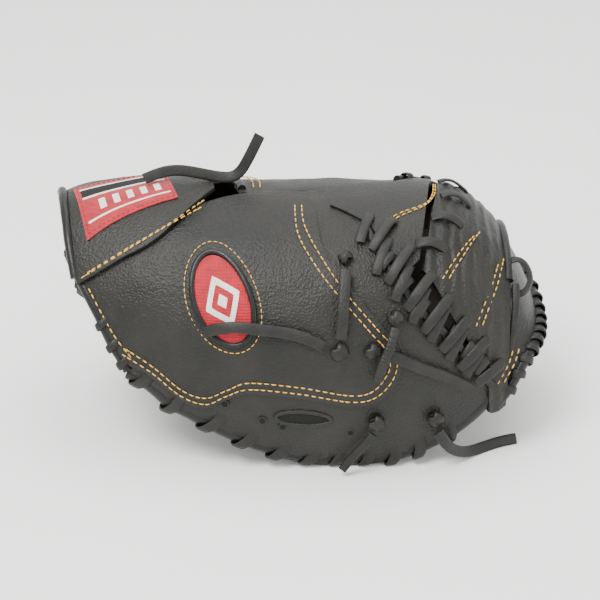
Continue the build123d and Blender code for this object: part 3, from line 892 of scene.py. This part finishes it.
@dataclass
class Interior:
    """The palm, lining, pads and loops that are seen from below and from the wrist.

    The insets are given at the foot, low side, side, shoulder and crest.
    """

    finishes: Finishes
    PALM_INSETS = (6.5, 12.1, 25.1, 41.1, 46.1)
    LINING_INSETS = (3, 5, 14, 28, 32)

    def build(self) -> None:
        """Builds the palm and lining in one piece each and finishes the pads."""
        f = self.finishes
        thumb = Line.side_view([(-138, 110), (-118, 88), (-102, 62), (-84, 50), (-64, 38),
                                (-39, 25), (-12, 14), (10, 8.5), (38, 8.5), (62, 12.5), (84, 22.5),
                                (101, 35), (112, 48), (124, 66), (136, 80)])
        finger = Line.side_view([(-138, 110), (-118, 88), (-102, 62), (-86, 51), (-66, 39),
                                 (-45, 26), (-20, 14), (2, 8.5), (30, 8.5), (58, 8.5), (84, 11.5),
                                 (108, 16), (126, 25), (136, 36)], Side.FINGER)
        palm = Bench.panel("palm_leather", thumb, finger, self.PALM_INSETS, 2.8, (110, 90),
                           0.8)
        Bench.dress(palm, "leather_palm", f.palm, f.suede)
        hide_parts("thumb_palm_leather", "finger_palm_leather")
        across_fold(palm)
        lining = Bench.panel("hand_lining", thumb, finger, self.LINING_INSETS, 1.4, (110, 90), 0.5)
        Bench.dress(lining, "lining_leather", f.lining, f.suede)
        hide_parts("thumb_lining", "finger_lining")
        across_fold(lining)
        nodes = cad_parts
        for name in ("thumb_felt_pad", "finger_felt_pad", "thumb_heel_pad", "finger_heel_pad"):
            Bench.dress(nodes[name], "wool_felt", f.felt)
        for name in ("thumb_loop", "little_finger_loop"):
            Bench.dress(nodes[name], "rolled_leather", f.rolled)
        Bench.dress(nodes["finger_stall_dividers"], "lining_leather", f.lining)


@dataclass
class Edges:
    """Rim weltings, bindings and pipings: rolled leather round the open edges."""

    finishes: Finishes

    def rope(self, name: str, node: str, line: Line, inset: float, radius: float,
             body: Body | None, count: int) -> None:
        """Builds one rolled edge in place of its CAD node; without a body it only has its transform
        baked.
        """
        rope = Bench.tube(name, line.points(count, inset), radius)
        Bench.dress(rope, "rolled_leather", self.finishes.rolled)
        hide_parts(node)
        if body:
            settle(rope, body)
        else:
            across_fold(rope)

    def build(self) -> None:
        """Builds every rolled edge."""
        thumb_rim = Line.side_view(THUMB_RIM)
        finger_rim = Line.side_view(FINGER_RIM, Side.FINGER)
        self.rope("thumb_rim_roll", "thumb_rim_welting", thumb_rim, 4.75, 5.0, Body.THUMB, 34)
        self.rope("finger_rim_roll", "finger_rim_welting", finger_rim, 4.75, 5.0, Body.FINGER, 34)
        for side, name in ((Side.THUMB, "thumb"), (Side.FINGER, "finger")):
            wrist = Line.side_view([(-103, 60), (-106, 65), (-113, 76), (-120, 90), (-131, 108),
                                    (-139, 121)], side)
            self.rope(name + "_wrist_roll", name + "_wrist_binding", wrist, 0.6, 3.1,
                      Body(name + "_side"), 18)
        crotch = Line.side_view(THUMB_CROTCH)
        self.rope("thumb_crotch_roll", "thumb_crotch_piping", crotch, 0.4, 3.1, Body.THUMB, 20)
        far = Line.side_view(FINGER_CROTCH, Side.FINGER)
        self.rope("finger_crotch_roll", "finger_crotch_piping", far, 0.4, 3.1, Body.FINGER, 16)
        hand = over_top([(-130, 53.5), (-100, 57), (-71, 53), (-51, 39), (-40.5, 21), (-37, 4)])
        self.rope("hand_opening_roll", "hand_opening_binding", hand, 0.0, 2.6, Body.FINGER, 22)
        top = over_top([(122, -40), (122, -20), (122, 0), (122, 20), (122, 36)])
        self.rope("web_top_roll", "web_top_binding", top, -0.5, 3.0, None, 18)


@dataclass
class Wrap:
    """One turn of flat lace over a rolled edge."""

    line: Line
    inset: float
    reach_in: float
    reach_out: float
    slant: float
    width: float = 6.0

    def ring(self, x: float, number: int) -> bpy.types.Object:
        """Builds one turn of lace.

        Args:
            x: Where along the edge, as an x.
            number: Which turn it is, to vary it slightly.

        Returns:
            The closed strip.
        """
        share = min((i / 200 for i in range(201)),
                    key=lambda s: abs(self.line.at(s)[0] - x))
        here, near, far = (self.line.at(share + d) for d in (0.0, -0.01, 0.01))
        centre = ARCH.point(*here, self.inset)
        along = (ARCH.point(*far, self.inset) - ARCH.point(*near, self.inset)).normalized()
        out = ARCH.outward(*here)
        up = out.cross(along).normalized()
        if up.z < 0:
            up = -up
        centre.z = max(centre.z, self.reach_in + 1.4)
        lean = self.slant * (1 + 0.25 * noise.noise(Vector((number * 3.7, x, 0))))
        centres, ups = [], []
        for k in range(26):
            spin = 2 * math.pi * k / 26
            rise, away = math.sin(spin), math.copysign(abs(math.cos(spin)) ** 0.45, math.cos(spin))
            tall = self.reach_out if rise > 0 else self.reach_in
            centres.append(centre + out * away * (self.reach_in + 0.3) + up * rise * tall
                           + along * rise * lean)
            ups.append((out * away / (self.reach_in + 0.3) + up * rise / tall).normalized())
        return Bench.strip(f"turn_{number}", centres, ups, self.width, 1.7, True, 8, 0.3)


@dataclass
class Lacing:
    """Every fixed lace: rim and crotch turns, bridges to the web, knots and the heel lace."""

    finishes: Finishes

    def row(self, name: str, node: str, wrap: Wrap, places: tuple[float, ...], body: Body) -> None:
        """Builds a row of turns as one piece."""
        made = Bench.join(name, [wrap.ring(x, i) for i, x in enumerate(places)])
        Bench.dress(made, "rawhide_lace", self.finishes.lace)
        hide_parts(node)
        settle(made, body)

    def build(self) -> None:
        """Builds all the lacing."""
        thumb_rim = Line.side_view(THUMB_RIM[:-1])
        self.row("thumb_rim_turns", "thumb_rim_lace", Wrap(thumb_rim, 4.75, 6.0, 14.0, 4.5, 6.8),
                 (-94, -76, -54, -34, -14, 6, 22, 40, 55, 70, 88), Body.THUMB)
        finger_rim = Line.side_view(FINGER_RIM[:-1], Side.FINGER)
        self.row("finger_rim_turns", "finger_rim_lace", Wrap(finger_rim, 4.75, 6.0, 14.0, 4.5, 6.8),
                 (-92, -72, -52, -32, -12, 8, 26, 44, 62, 80, 98, 116, 132), Body.FINGER)
        crotch = Line.side_view(THUMB_CROTCH[:-1])
        self.row("thumb_crotch_turns", "thumb_crotch_lace", Wrap(crotch, 0.4, 4.2, 7.0, 1.5, 5.6),
                 (48, 58, 68, 77, 86, 95, 103), Body.THUMB)
        far = Line.side_view(FINGER_CROTCH, Side.FINGER)
        self.row("finger_crotch_turns", "finger_web_lace", Wrap(far, 0.4, 3.8, 5.5, 1.5, 5.0),
                 (64, 76, 88, 100, 112), Body.FINGER)
        wrist = Line.side_view([(-104, 62), (-106, 65), (-113, 76), (-120, 90)])
        self.row("heel_turns", "heel_lace", Wrap(wrist, 0.6, 3.9, 5.0, 1.0, 5.0),
                 (-106, -112, -118), Body.THUMB)
        self.bridges()
        self.knots()

    def bridges(self) -> None:
        """Laces that span the gap from the crotch to the web, and the web's own joining lace."""
        spans = (((36, 130), (46, 140)), ((45, 116), (56, 131)), ((56, 103), (68, 119)),
                 ((66, 91), (78, 108)), ((77, 80), (89, 96)), ((88, 68), (100, 83)),
                 ((98, 57), (110, 68)))
        parts = []
        for i, (first, last) in enumerate(spans):
            line = Line.side_view([first, last])
            for shift, tilt in ((-3.0, -3.5), (3.4, 4.5)):
                centres = []
                for k in range(9):
                    x, turn = line.at(k / 8)
                    bow = 2.6 + 2.8 * math.sin(math.pi * k / 8) * (1.3 if tilt > 0 else 0.6)
                    centres.append(ARCH.point(x + shift + tilt * k / 8, turn - shift * 0.5, -bow))
                ups = [ARCH.outward(*line.at(k / 8)) for k in range(9)]
                parts.append(Bench.strip(f"span_{i}", centres, ups, 6.2, 1.7, wobble=0.4))
        made = Bench.join("web_bridges", parts)
        Bench.dress(made, "rawhide_lace", self.finishes.lace)
        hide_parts("thumb_web_lace")
        across_fold(made)
        parts = []
        for i, (x, y) in enumerate(((92, -6), (85, -30), (75, -48), (92, 20))):
            line = over_top([(x - 9, y), (x, y + 1), (x + 9, y)])
            centres = [ARCH.point(*line.at(k / 10), -1.6 - 2.6 * math.sin(math.pi * k / 10))
                       for k in range(11)]
            ups = [ARCH.outward(*line.at(k / 10)) for k in range(11)]
            parts.append(Bench.strip(f"joint_{i}", centres, ups, 6.5, 1.6, wobble=0.3))
        made = Bench.join("web_joining_turns", parts)
        Bench.dress(made, "rawhide_lace", self.finishes.lace)
        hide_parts("web_joining_lace")
        across_fold(made)

    def knots(self) -> None:
        """Flat knots where the tails leave the panels."""
        parts = []
        for i, (x, z, size) in enumerate(((21, 79, 8), (40, 79, 7), (24.5, 125, 6), (53.5, 96, 7),
                                          (43, 35, 7), (78, 35, 7))):
            turn = ARCH.turn_at(x, z)
            centre, out = ARCH.point(x, turn, -3.6), ARCH.outward(x, turn)
            side = Vector((1, 0, 0))
            up = out.cross(side).normalized()
            for lean in (0.2, 1.25):
                way = side * math.cos(lean) + up * math.sin(lean)
                spins = [2 * math.pi * k / 24 for k in range(24)]
                ups = [way * math.cos(spin) + out * 0.8 * math.sin(spin) for spin in spins]
                centres = [centre + way * size * 0.62 * math.cos(spin) + out * 2.6 * math.sin(spin)
                           for spin in spins]
                parts.append(Bench.strip(f"knot_{i}", centres, ups, size * 0.62, 1.5, True, 8,
                                         0.3))
        made = Bench.join("lace_knots", parts)
        Bench.dress(made, "rawhide_lace", self.finishes.lace)
        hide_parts("thumb_lace_knots")
        settle(made, Body.THUMB)


@dataclass
class Web:
    """The two webbing panels between thumb and fingers."""

    finishes: Finishes
    RISE = 1.4
    THICK = 2.8
    SEAM_RISE = 1.7

    def build(self) -> None:
        """Builds the panels and their stitching."""
        f = self.finishes
        base = Bench.panel("web_base", Line.side_view([(16, 143.5), (36, 139), (47, 131),
                           (60, 121), (68, 124)]), Line.side_view([(22, 144.9), (50, 144.5),
                           (64, 142.5), (72, 140), (80, 137)], Side.FINGER), -self.RISE,
                           self.THICK, (50, 60), 0.5)
        Bench.dress(base, "leather_shell", f.shell, f.suede)
        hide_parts("web_base_panel")
        across_fold(base)
        low = Line.side_view([(70, 119), (77, 111), (86, 96), (95, 82), (102, 70), (107, 59),
                              (110, 46), (112, 31), (121, 34)])
        high = Line.side_view([(86, 134.5), (95, 129), (105, 122), (114, 116), (124, 110)],
                              Side.FINGER)
        upper = Bench.panel("web_upper", low, high, -self.RISE, self.THICK, (70, 90), 1.0,
                            self.wrinkles)
        Bench.dress(upper, "leather_shell", f.shell, f.suede)
        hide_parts("web_upper_panel")
        across_fold(upper)
        rows = []
        for shift in (5.0, 9.0):
            rows.append((Line.side_view([(76 + shift, 114), (86 + shift, 124), (96 + shift, 129)]),
                         -self.SEAM_RISE))
            rows.append((Line.side_view([(96 + shift, 87), (105 + shift, 104),
                                         (110.5 + shift, 113)]), -self.SEAM_RISE))
            rows.append((Line.side_view([(110 + shift, 50), (116 + shift, 60),
                                         (119 + shift, 68)]), -self.SEAM_RISE))
            rows.append((over_top([(45 + shift * 0.6, -42 + shift), (58, -33 + shift * 0.6),
                                   (72, -22 + shift * 0.3), (80 - shift * 0.3, -8),
                                   (82 - shift * 0.3, 10)]), -self.SEAM_RISE))
        seam = Bench.stitches("web_stitching", rows)
        Bench.dress(seam, "leather_shell", f.thread)
        across_fold(seam)

    @staticmethod
    def wrinkles(x: float, turn: float) -> float:
        """Fine folds across the upper web."""
        return 0.5 * math.sin(x * 0.9 + 2.0 * noise.noise(Vector((x / 9, turn / 7, 0))))


@dataclass
class WristStrap:
    """The strap over the hand's back, with its label and fleece. Rises are above the shell."""

    finishes: Finishes
    RISE = 5.9
    SEAM_RISE = 6.0
    ROLL_RISE = 3.6
    FLEECE_RISE = 2.6
    LABEL_RISE = 6.95
    BAND_RISE = 7.2
    LABEL_SEAM_RISE = 6.9
    CURL_START = -128
    CURL_RUN = 16

    def build(self) -> None:
        """Builds the strap and what is on it."""
        f = self.finishes
        low = Line.side_view([(-133, 104), (-108, 119), (-82, 132), (-53, 145)])
        high = over_top([(-151, 42), (-122, 42), (-92, 42), (-63, 42)])
        strap = Bench.panel("strap_leather", low, high, -self.RISE, 2.9, (70, 70), 0.6,
                            self.curl)
        Bench.dress(strap, "leather_shell", f.shell, f.suede)
        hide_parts("wrist_strap")
        settle(strap, Body.STRAP)
        rows = [(Line.side_view([(-130 + d, 108 + d * 0.8), (-107 + d, 121.5 + d * 0.7),
                                 (-81 + d, 134 + d * 0.5), (-60 + d * 0.4, 141 + d * 0.5)]),
                 -self.SEAM_RISE) for d in (0.0, 3.6)]
        seam = Bench.stitches("strap_stitching", rows)
        Bench.dress(seam, "leather_shell", f.thread)
        settle(seam, Body.STRAP)
        edge = Line([(-134, 40), (-138, 55), (-142, 75), (-146, 95), (-149, 112)])
        roll = Bench.tube("strap_wrist_roll", edge.points(14, -self.ROLL_RISE), 2.9)
        Bench.dress(roll, "rolled_leather", f.rolled)
        settle(roll, Body.STRAP)
        self.label()
        fleece = Bench.panel("strap_shearling", over_top([(-134, -16), (-103, -16), (-72, -16)]),
                             over_top([(-134, 36), (-103, 36), (-72, 36)]), -self.FLEECE_RISE,
                             4.6, (70, 60), 1.2)
        Bench.dress(fleece, "fleece", f.fleece, f.fleece)
        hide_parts("strap_fleece")
        settle(fleece, Body.STRAP)

    @classmethod
    def curl(cls, x: float, turn: float) -> float:
        """The wrist end of the strap dips towards the wrist edge's binding, at every turn."""
        return 2.0 * max((cls.CURL_START - x) / cls.CURL_RUN, 0.0) ** 2

    def label(self) -> None:
        """The woven label with a plain band and a generic device."""
        f = self.finishes
        near, far = ((-127, -38), (-74, -19)), ((-139, 2), (-86, 20))

        def across(a: float, b: float, start: float = 0.0, end: float = 1.0) -> tuple[Line, Line]:
            """Two lines across the label at shares of its depth."""
            found = []
            for share in (a, b):
                places = []
                for k in range(7):
                    t = start + (end - start) * k / 6
                    n = [near[0][i] + (near[1][i] - near[0][i]) * t for i in (0, 1)]
                    g = [far[0][i] + (far[1][i] - far[0][i]) * t for i in (0, 1)]
                    places.append(tuple(n[i] + (g[i] - n[i]) * share for i in (0, 1)))
                found.append(over_top(places))
            return found[0], found[1]

        cloth = Bench.panel("label_cloth", *across(0.0, 1.0), -self.LABEL_RISE, 0.9, (50, 40),
                            0.2)
        Bench.dress(cloth, "woven_label", f.red_weave, f.red_weave)
        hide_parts("strap_label")
        settle(cloth, Body.STRAP)
        bands = []
        for a, b, material in ((0.58, 0.62, f.cream), (0.62, 0.82, f.black_weave),
                               (0.82, 0.86, f.cream), (0.16, 0.19, f.cream)):
            band = Bench.panel("label_band", *across(a, b, 0.05, 0.95), -self.BAND_RISE, 0.35,
                               (40, 6), 0.2)
            Bench.dress(band, "woven_label", material, material)
            bands.append(band)
        for k in range(5):
            t = 0.2 + 0.15 * k
            band = Bench.panel("label_device", *across(0.28, 0.48, t, t + 0.07),
                               -self.BAND_RISE, 0.4, (6, 6), 0.1)
            Bench.dress(band, "woven_label", f.cream, f.cream)
            bands.append(band)
        made = Bench.join("label_bands", bands)
        settle(made, Body.STRAP)
        low, high = across(0.05, 0.95, 0.03, 0.97)
        left = Line([low.places[0], high.places[0]])
        right = Line([low.places[-1], high.places[-1]])
        rows = [(line, -self.LABEL_SEAM_RISE) for line in (low, high, left, right)]
        seam = Bench.stitches("label_stitching", rows, 3.0, 2.2, 0.6)
        Bench.dress(seam, "woven_label", f.red_thread)
        settle(seam, Body.STRAP)


@dataclass
class OvalPatch:
    """The oval cloth patch with its rolled ring and a generic diamond device."""

    finishes: Finishes
    centre: Place = (-46.5, 104.0)
    axes: Place = (22.5, 14.5)
    lean: float = math.radians(-62)

    def spot(self, u: float, v: float) -> Place:
        """The place (x, turn) from the patch's own long and short directions."""
        x = self.centre[0] + u * math.cos(self.lean) - v * math.sin(self.lean)
        z = self.centre[1] + u * math.sin(self.lean) + v * math.cos(self.lean)
        return x, ARCH.turn_at(x, z)

    def place(self, u: float, v: float, rise: float) -> Vector:
        """A point this high over the shell at a spot of the patch, in millimetres."""
        return ARCH.point(*self.spot(u, v), -rise)

    def out(self) -> Vector:
        """The patch's outward direction."""
        x, z = self.centre
        return ARCH.outward(x, ARCH.turn_at(x, z))

    def loop(self, grow: float, rise: float, count: int = 64) -> list[Vector]:
        """Points of an oval that is larger than the patch by grow."""
        return [self.place((self.axes[0] + grow) * math.cos(2 * math.pi * k / count),
                           (self.axes[1] + grow) * math.sin(2 * math.pi * k / count), rise)
                for k in range(count)]

    def disc(self, name: str, outline, rise: float, thick: float, swell: float,
             size: tuple[int, int] = (48, 12)) -> bpy.types.Object:
        """Builds a low cushion inside an outline.

        Args:
            name: The piece's name.
            outline: Gives (u, v) of the outline for a spin in radians.
            rise: The face's height over the shell.
            thick: How far its edge goes down.
            swell: How much its middle stands up.
            size: Faces round and from the middle outwards.

        Returns:
            The cushion.
        """
        made = Bench.grid(name, *size)
        for vertex in made.data.vertices:
            spin = 2 * math.pi * (vertex.co.x + 0.5)
            share = vertex.co.y + 0.5
            reach = min(share * size[1] / (size[1] - 1), 1.0)
            u, v = outline(spin)
            drop = thick if share > 0.999 else swell * reach ** 4
            vertex.co = self.place(u * reach, v * reach, rise + swell - drop) * MM
        Bench.edit(made, lambda: bpy.ops.mesh.remove_doubles(threshold=2e-6),
                   lambda: bpy.ops.mesh.normals_make_consistent(inside=False))
        Bench.smooth(made, 50)
        return made

    def build(self) -> None:
        """Builds the patch, ring, stitches and device."""
        f = self.finishes
        cloth = self.disc("patch_cloth", lambda s: (self.axes[0] * math.cos(s),
                                                    self.axes[1] * math.sin(s)), 4.0, 2.0, 0.5)
        Bench.dress(cloth, "woven_label", f.red_weave)
        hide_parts("oval_patch")
        settle(cloth, Body.THUMB)
        ring = Bench.strip("patch_roll", self.loop(1.6, 3.6), [self.out()] * 64, 3.4, 3.2, True, 12)
        Bench.dress(ring, "rolled_leather", f.rolled)
        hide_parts("oval_patch_ring")
        settle(ring, Body.THUMB)

        def sewn(grow: float) -> Line:
            """An oval line of stitches round the patch."""
            places = []
            for k in range(65):
                spin = 2 * math.pi * k / 64
                places.append(self.spot((self.axes[0] + grow) * math.cos(spin),
                                        (self.axes[1] + grow) * math.sin(spin)))
            return Line(places)

        seam = Bench.stitches("patch_stitching", [(sewn(6.0), -2.4)], 3.4, 2.6, 0.7)
        Bench.dress(seam, "leather_shell", f.thread)
        settle(seam, Body.THUMB)

        def diamond(size: float):
            """The outline of a soft diamond."""
            def outline(spin: float) -> Place:
                reach = size / (abs(math.cos(spin)) ** 1.1 + abs(math.sin(spin)) ** 1.1)
                return 1.15 * reach * math.cos(spin), 0.95 * reach * math.sin(spin)
            return outline

        parts = [self.disc("device", diamond(11.5), 4.6, 0.8, 0.4),
                 self.disc("device_field", diamond(7.6), 5.0, 0.5, 0.3),
                 self.disc("device_dot", diamond(3.4), 5.4, 0.5, 0.3)]
        for part, material in zip(parts, (f.cream, f.red_weave, f.cream)):
            Bench.dress(part, "woven_label", material)
        made = Bench.join("patch_device", parts)
        settle(made, Body.THUMB)


@dataclass
class Details:
    """The rolled slot in the base panel, the lace holes and the loop on the nose."""

    finishes: Finishes

    def build(self) -> None:
        """Builds the slot's lip, the lace holes and the nose loop."""
        f = self.finishes
        slot = OvalPatch(f, (0.0, 37.0), (15.0, 3.4), math.radians(-3))
        lip = Bench.strip("slot_lip", slot.loop(1.2, 0.3), [slot.out()] * 64, 2.6, 2.0, True, 10)
        # The hollow discs are painted shade: near-black sheets laid in the slot and holes, where
        # only shadow falls.
        painted_hole_shade = slot.disc("slot_painted_shade", lambda s: (15.4 * math.cos(s), 3.8 * math.sin(s)), 0.5,
                           1.0, 0.0)
        holes = [lip]
        dark = [painted_hole_shade]
        for x, z in ((-46, 45), (-24, 35), (-12, 31), (28, 27), (42, 31)):
            hole = OvalPatch(f, (x, z), (1.7, 1.7), 0.0)
            holes.append(Bench.strip("hole_lip", hole.loop(0.6, 0.2, 20), [hole.out()] * 20, 1.2,
                                     0.9, True, 8))
            dark.append(hole.disc("hole_painted_shade", lambda s: (1.9 * math.cos(s), 1.9 * math.sin(s)),
                                  0.3, 0.6, 0.0, (16, 5)))
        rims = Bench.join("slot_and_hole_lips", holes)
        Bench.dress(rims, "leather_shell", f.shell)
        settle(rims, Body.THUMB)
        # The slot and holes get their painted shade from the near-black finish.
        painted_hole_shades = Bench.join("slot_and_hole_painted_shades", dark)
        Bench.dress(painted_hole_shades, "leather_shell", f.painted_hole_shade)
        settle(painted_hole_shades, Body.THUMB)
        self.nose_loop()
        self.nose_lacing()

    def nose_loop(self) -> None:
        """A loop of lace standing at the front of the web, with its end running down."""
        out = Vector((0.35, -0.75, 0.55)).normalized()
        side = Vector((1, 0, 0.1)).normalized()
        up = out.cross(side).normalized()
        centre = Vector((127.5, -34, 104))
        ring = [centre + side * 8.0 * math.cos(2 * math.pi * k / 32)
                + up * 10.5 * math.sin(2 * math.pi * k / 32) for k in range(32)]
        ups = [(p - centre).normalized() * 0.8 + out for p in ring]
        loop = Bench.strip("nose_ring", ring, ups, 5.0, 1.8, True, 8, 0.4)
        route = [Vector(p) for p in ((126, -42, 103), (126.5, -48, 95), (125, -55, 82),
                                     (122.5, -61, 68), (120, -65, 58))]
        line = Bench.nurbs(route, 6)
        end = Bench.strip("nose_end", line, [Vector((0, -1, 0.4))] * len(line), 4.6, 1.8)
        made = Bench.join("nose_loop", [loop, end])
        Bench.dress(made, "rawhide_lace", self.finishes.lace)
        across_fold(made)

    def nose_lacing(self) -> None:
        """The rolled edge round the nose with its turns of lace."""
        route = [ARCH.point(x, 90 - spin, 2.5) for x, spin in
                 ((137, -36), (141, -22), (143.5, 0), (143.5, 22), (142, 42), (138, 60), (131, 76),
                  (122, 90), (115, 104))]
        roll = Bench.tube("nose_roll", route, 3.6)
        Bench.dress(roll, "rolled_leather", self.finishes.rolled)
        across_fold(roll)
        parts = []
        line = Bench.nurbs(route, 8)
        for i in range(3, len(line) - 3, 5):
            ahead = (line[i + 1] - line[i - 1]).normalized()
            first = ahead.cross(Vector((1, 0, 0.2))).normalized()
            second = ahead.cross(first).normalized()
            ring = [line[i] + first * 4.6 * math.cos(2 * math.pi * k / 20)
                    + second * 4.6 * math.sin(2 * math.pi * k / 20)
                    + ahead * 1.6 * math.sin(2 * math.pi * k / 20) for k in range(20)]
            parts.append(Bench.strip(f"nose_turn_{i}", ring, [p - line[i] for p in ring], 5.0, 1.6,
                                     True, 8, 0.3))
        made = Bench.join("nose_turns", parts)
        Bench.dress(made, "rawhide_lace", self.finishes.lace)
        across_fold(made)


class Tails:
    """The seven free ends of lace. ON_SIDE routes are (x, z, rise); FREE ones are points."""

    WIDTH = 6.8
    THICK = 1.7
    SLENDER = 6.1
    RIDGE = 0.55
    ON_SIDE = {
        "patch_lace": ((-57, 88, 6), (-48, 90.5, 9.8), (-37, 91.5, 10), (-25, 90.5, 8.5),
                       (-11, 89.5, 6), (3, 86.5, 5.8), (12, 82, 6)),
        "hanging_lace": ((21.5, 86, 6.5), (22.8, 94, 7), (23.2, 103.5, 7), (24.2, 112.5, 6.5),
                         (24.4, 119, 6)),
        "corrugated_tail": ((53, 91, 8), (51, 84, 10.8), (47.5, 76, 11.2), (44.5, 69, 9),
                            (43, 62.5, 6.5)),
        "wide_lace": ((47.5, 78, 5.4), (58, 73.5, 5.5), (71, 67, 5), (85, 61, 4.6), (99, 51.5, 4.6)),
        "bottom_tail": ((41, 29, 6), (37.5, 23, 6.5), (32.5, 17.5, 7), (27.5, 11, 8.5),
                        (23, 4.5, 11)),
    }
    FREE = {
        "rim_tail": ((79.5, -88, 28), (84, -86, 19), (91, -79, 10), (100, -69, 4), (111, -60, 3),
                     (121, -54, 3.2), (130, -50.5, 3)),
        "strap_tail": ((-95, -6, 155.5), (-86, -1, 158), (-75, 3, 158), (-63, 4, 155.5),
                       (-52, 4, 153), (-43, 4, 152.5), (-37.5, 4, 156.5), (-33.5, 4.5, 163.5),
                       (-29.5, 5, 171.5), (-26, 5.5, 179)),
    }
    ENDS = {"patch_lace": "knot", "hanging_lace": "knot", "corrugated_tail": "bare",
            "wide_lace": "object", "bottom_tail": "bare", "rim_tail": "bare", "strap_tail": "bare"}

    def __init__(self, finishes: Finishes) -> None:
        """Keeps the finishes."""
        self.finishes = finishes

    def route(self, name: str) -> list[Vector]:
        """The control points of one tail, in millimetres."""
        if name in self.FREE:
            return [Vector(p) for p in self.FREE[name]]
        return [ARCH.point(x, ARCH.turn_at(x, z), -stand) for x, z, stand in self.ON_SIDE[name]]

    def build(self) -> None:
        for name in (*self.ON_SIDE, *self.FREE):
            line = Bench.nurbs(self.route(name), 10)
            length = sum((b - a).length for a, b in zip(line, line[1:]))
            width = min(self.WIDTH, length / self.SLENDER)
            lean = Vector((-0.15, -0.9, 0.5)) if name == "strap_tail" else Vector((0, -1, 0.55))
            ups = [lean.normalized()] * len(line)
            ridge = self.RIDGE if name == "corrugated_tail" else 0.0
            lace = Bench.strip(name + "_flat", line, ups, width, self.THICK, ridge=ridge)
            Bench.dress(lace, "rawhide_lace", self.finishes.lace)
            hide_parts(name)
            settle(lace, Body.STRAP if name == "strap_tail" else Body.THUMB)


# --- Studio ---------------------------------------------------------------------------------------


@dataclass
class Studio:
    """The floor, lights and camera. Lengths here are metres, except the lens."""

    finishes: Finishes
    ELEVATION = 25
    DISTANCE = 1.2
    AIM_HEIGHT = 0.070
    SHIFT_X = -0.00186
    SHIFT_UP = 0.00248
    LENS = 116.1

    def build(self) -> None:
        """Sets up the studio."""
        bpy.ops.mesh.primitive_plane_add(size=40, location=(0, 0, 0))
        floor = bpy.context.object
        floor.name = "studio_floor"
        floor.data.materials.append(self.finishes.floor)
        for name, place, power, size in (("key_light", (-0.55, -0.8, 1.5), 34, 0.7),
                                         ("fill_light", (1.3, -1.0, 0.7), 9, 1.2),
                                         ("top_light", (0.1, 0.5, 1.7), 16, 1.4)):
            bpy.ops.object.light_add(type="AREA", location=place)
            light = bpy.context.object
            light.name = name
            light.data.energy = power
            light.data.size = size
            aim = Vector((0, 0, 0.07)) - Vector(place)
            light.rotation_euler = aim.to_track_quat("-Z", "Y").to_euler()
        world = bpy.data.worlds.new("studio_world")
        bpy.context.scene.world = world
        world.use_nodes = True
        world.node_tree.nodes["Background"].inputs["Color"].default_value = linear("#ffffff")
        world.node_tree.nodes["Background"].inputs["Strength"].default_value = 1.5
        self.camera()

    @classmethod
    def camera(cls) -> None:
        """Places the camera in front of the thumb side, looking down at the elevation."""
        elevation = math.radians(cls.ELEVATION)
        target = Vector((0, 0, cls.AIM_HEIGHT))
        ahead = Vector((0, math.cos(elevation), -math.sin(elevation)))
        above = Vector((0, math.sin(elevation), math.cos(elevation)))
        place = target - ahead * cls.DISTANCE + Vector((cls.SHIFT_X, 0, 0)) + above * cls.SHIFT_UP
        bpy.ops.object.camera_add(location=place)
        camera = bpy.context.object
        camera.name = "studio_camera"
        camera.rotation_euler = ahead.to_track_quat("-Z", "Y").to_euler()
        camera.data.lens = cls.LENS
        camera.data.sensor_width = 36
        camera.data.clip_start = 0.01
        bpy.context.scene.camera = camera


def main() -> None:
    """Builds the whole mitt and the studio."""
    logging.basicConfig(level=logging.INFO, format="%(name)s: %(message)s")
    finishes = Finishes()
    for part in (ThumbShell, FingerShell, Interior, Edges, Lacing, Web, WristStrap, OvalPatch,
                 Details, Tails, Studio):
        part(finishes).build()
        LOG.info("%s done", part.__name__)


if __name__ == "__main__":
    main()
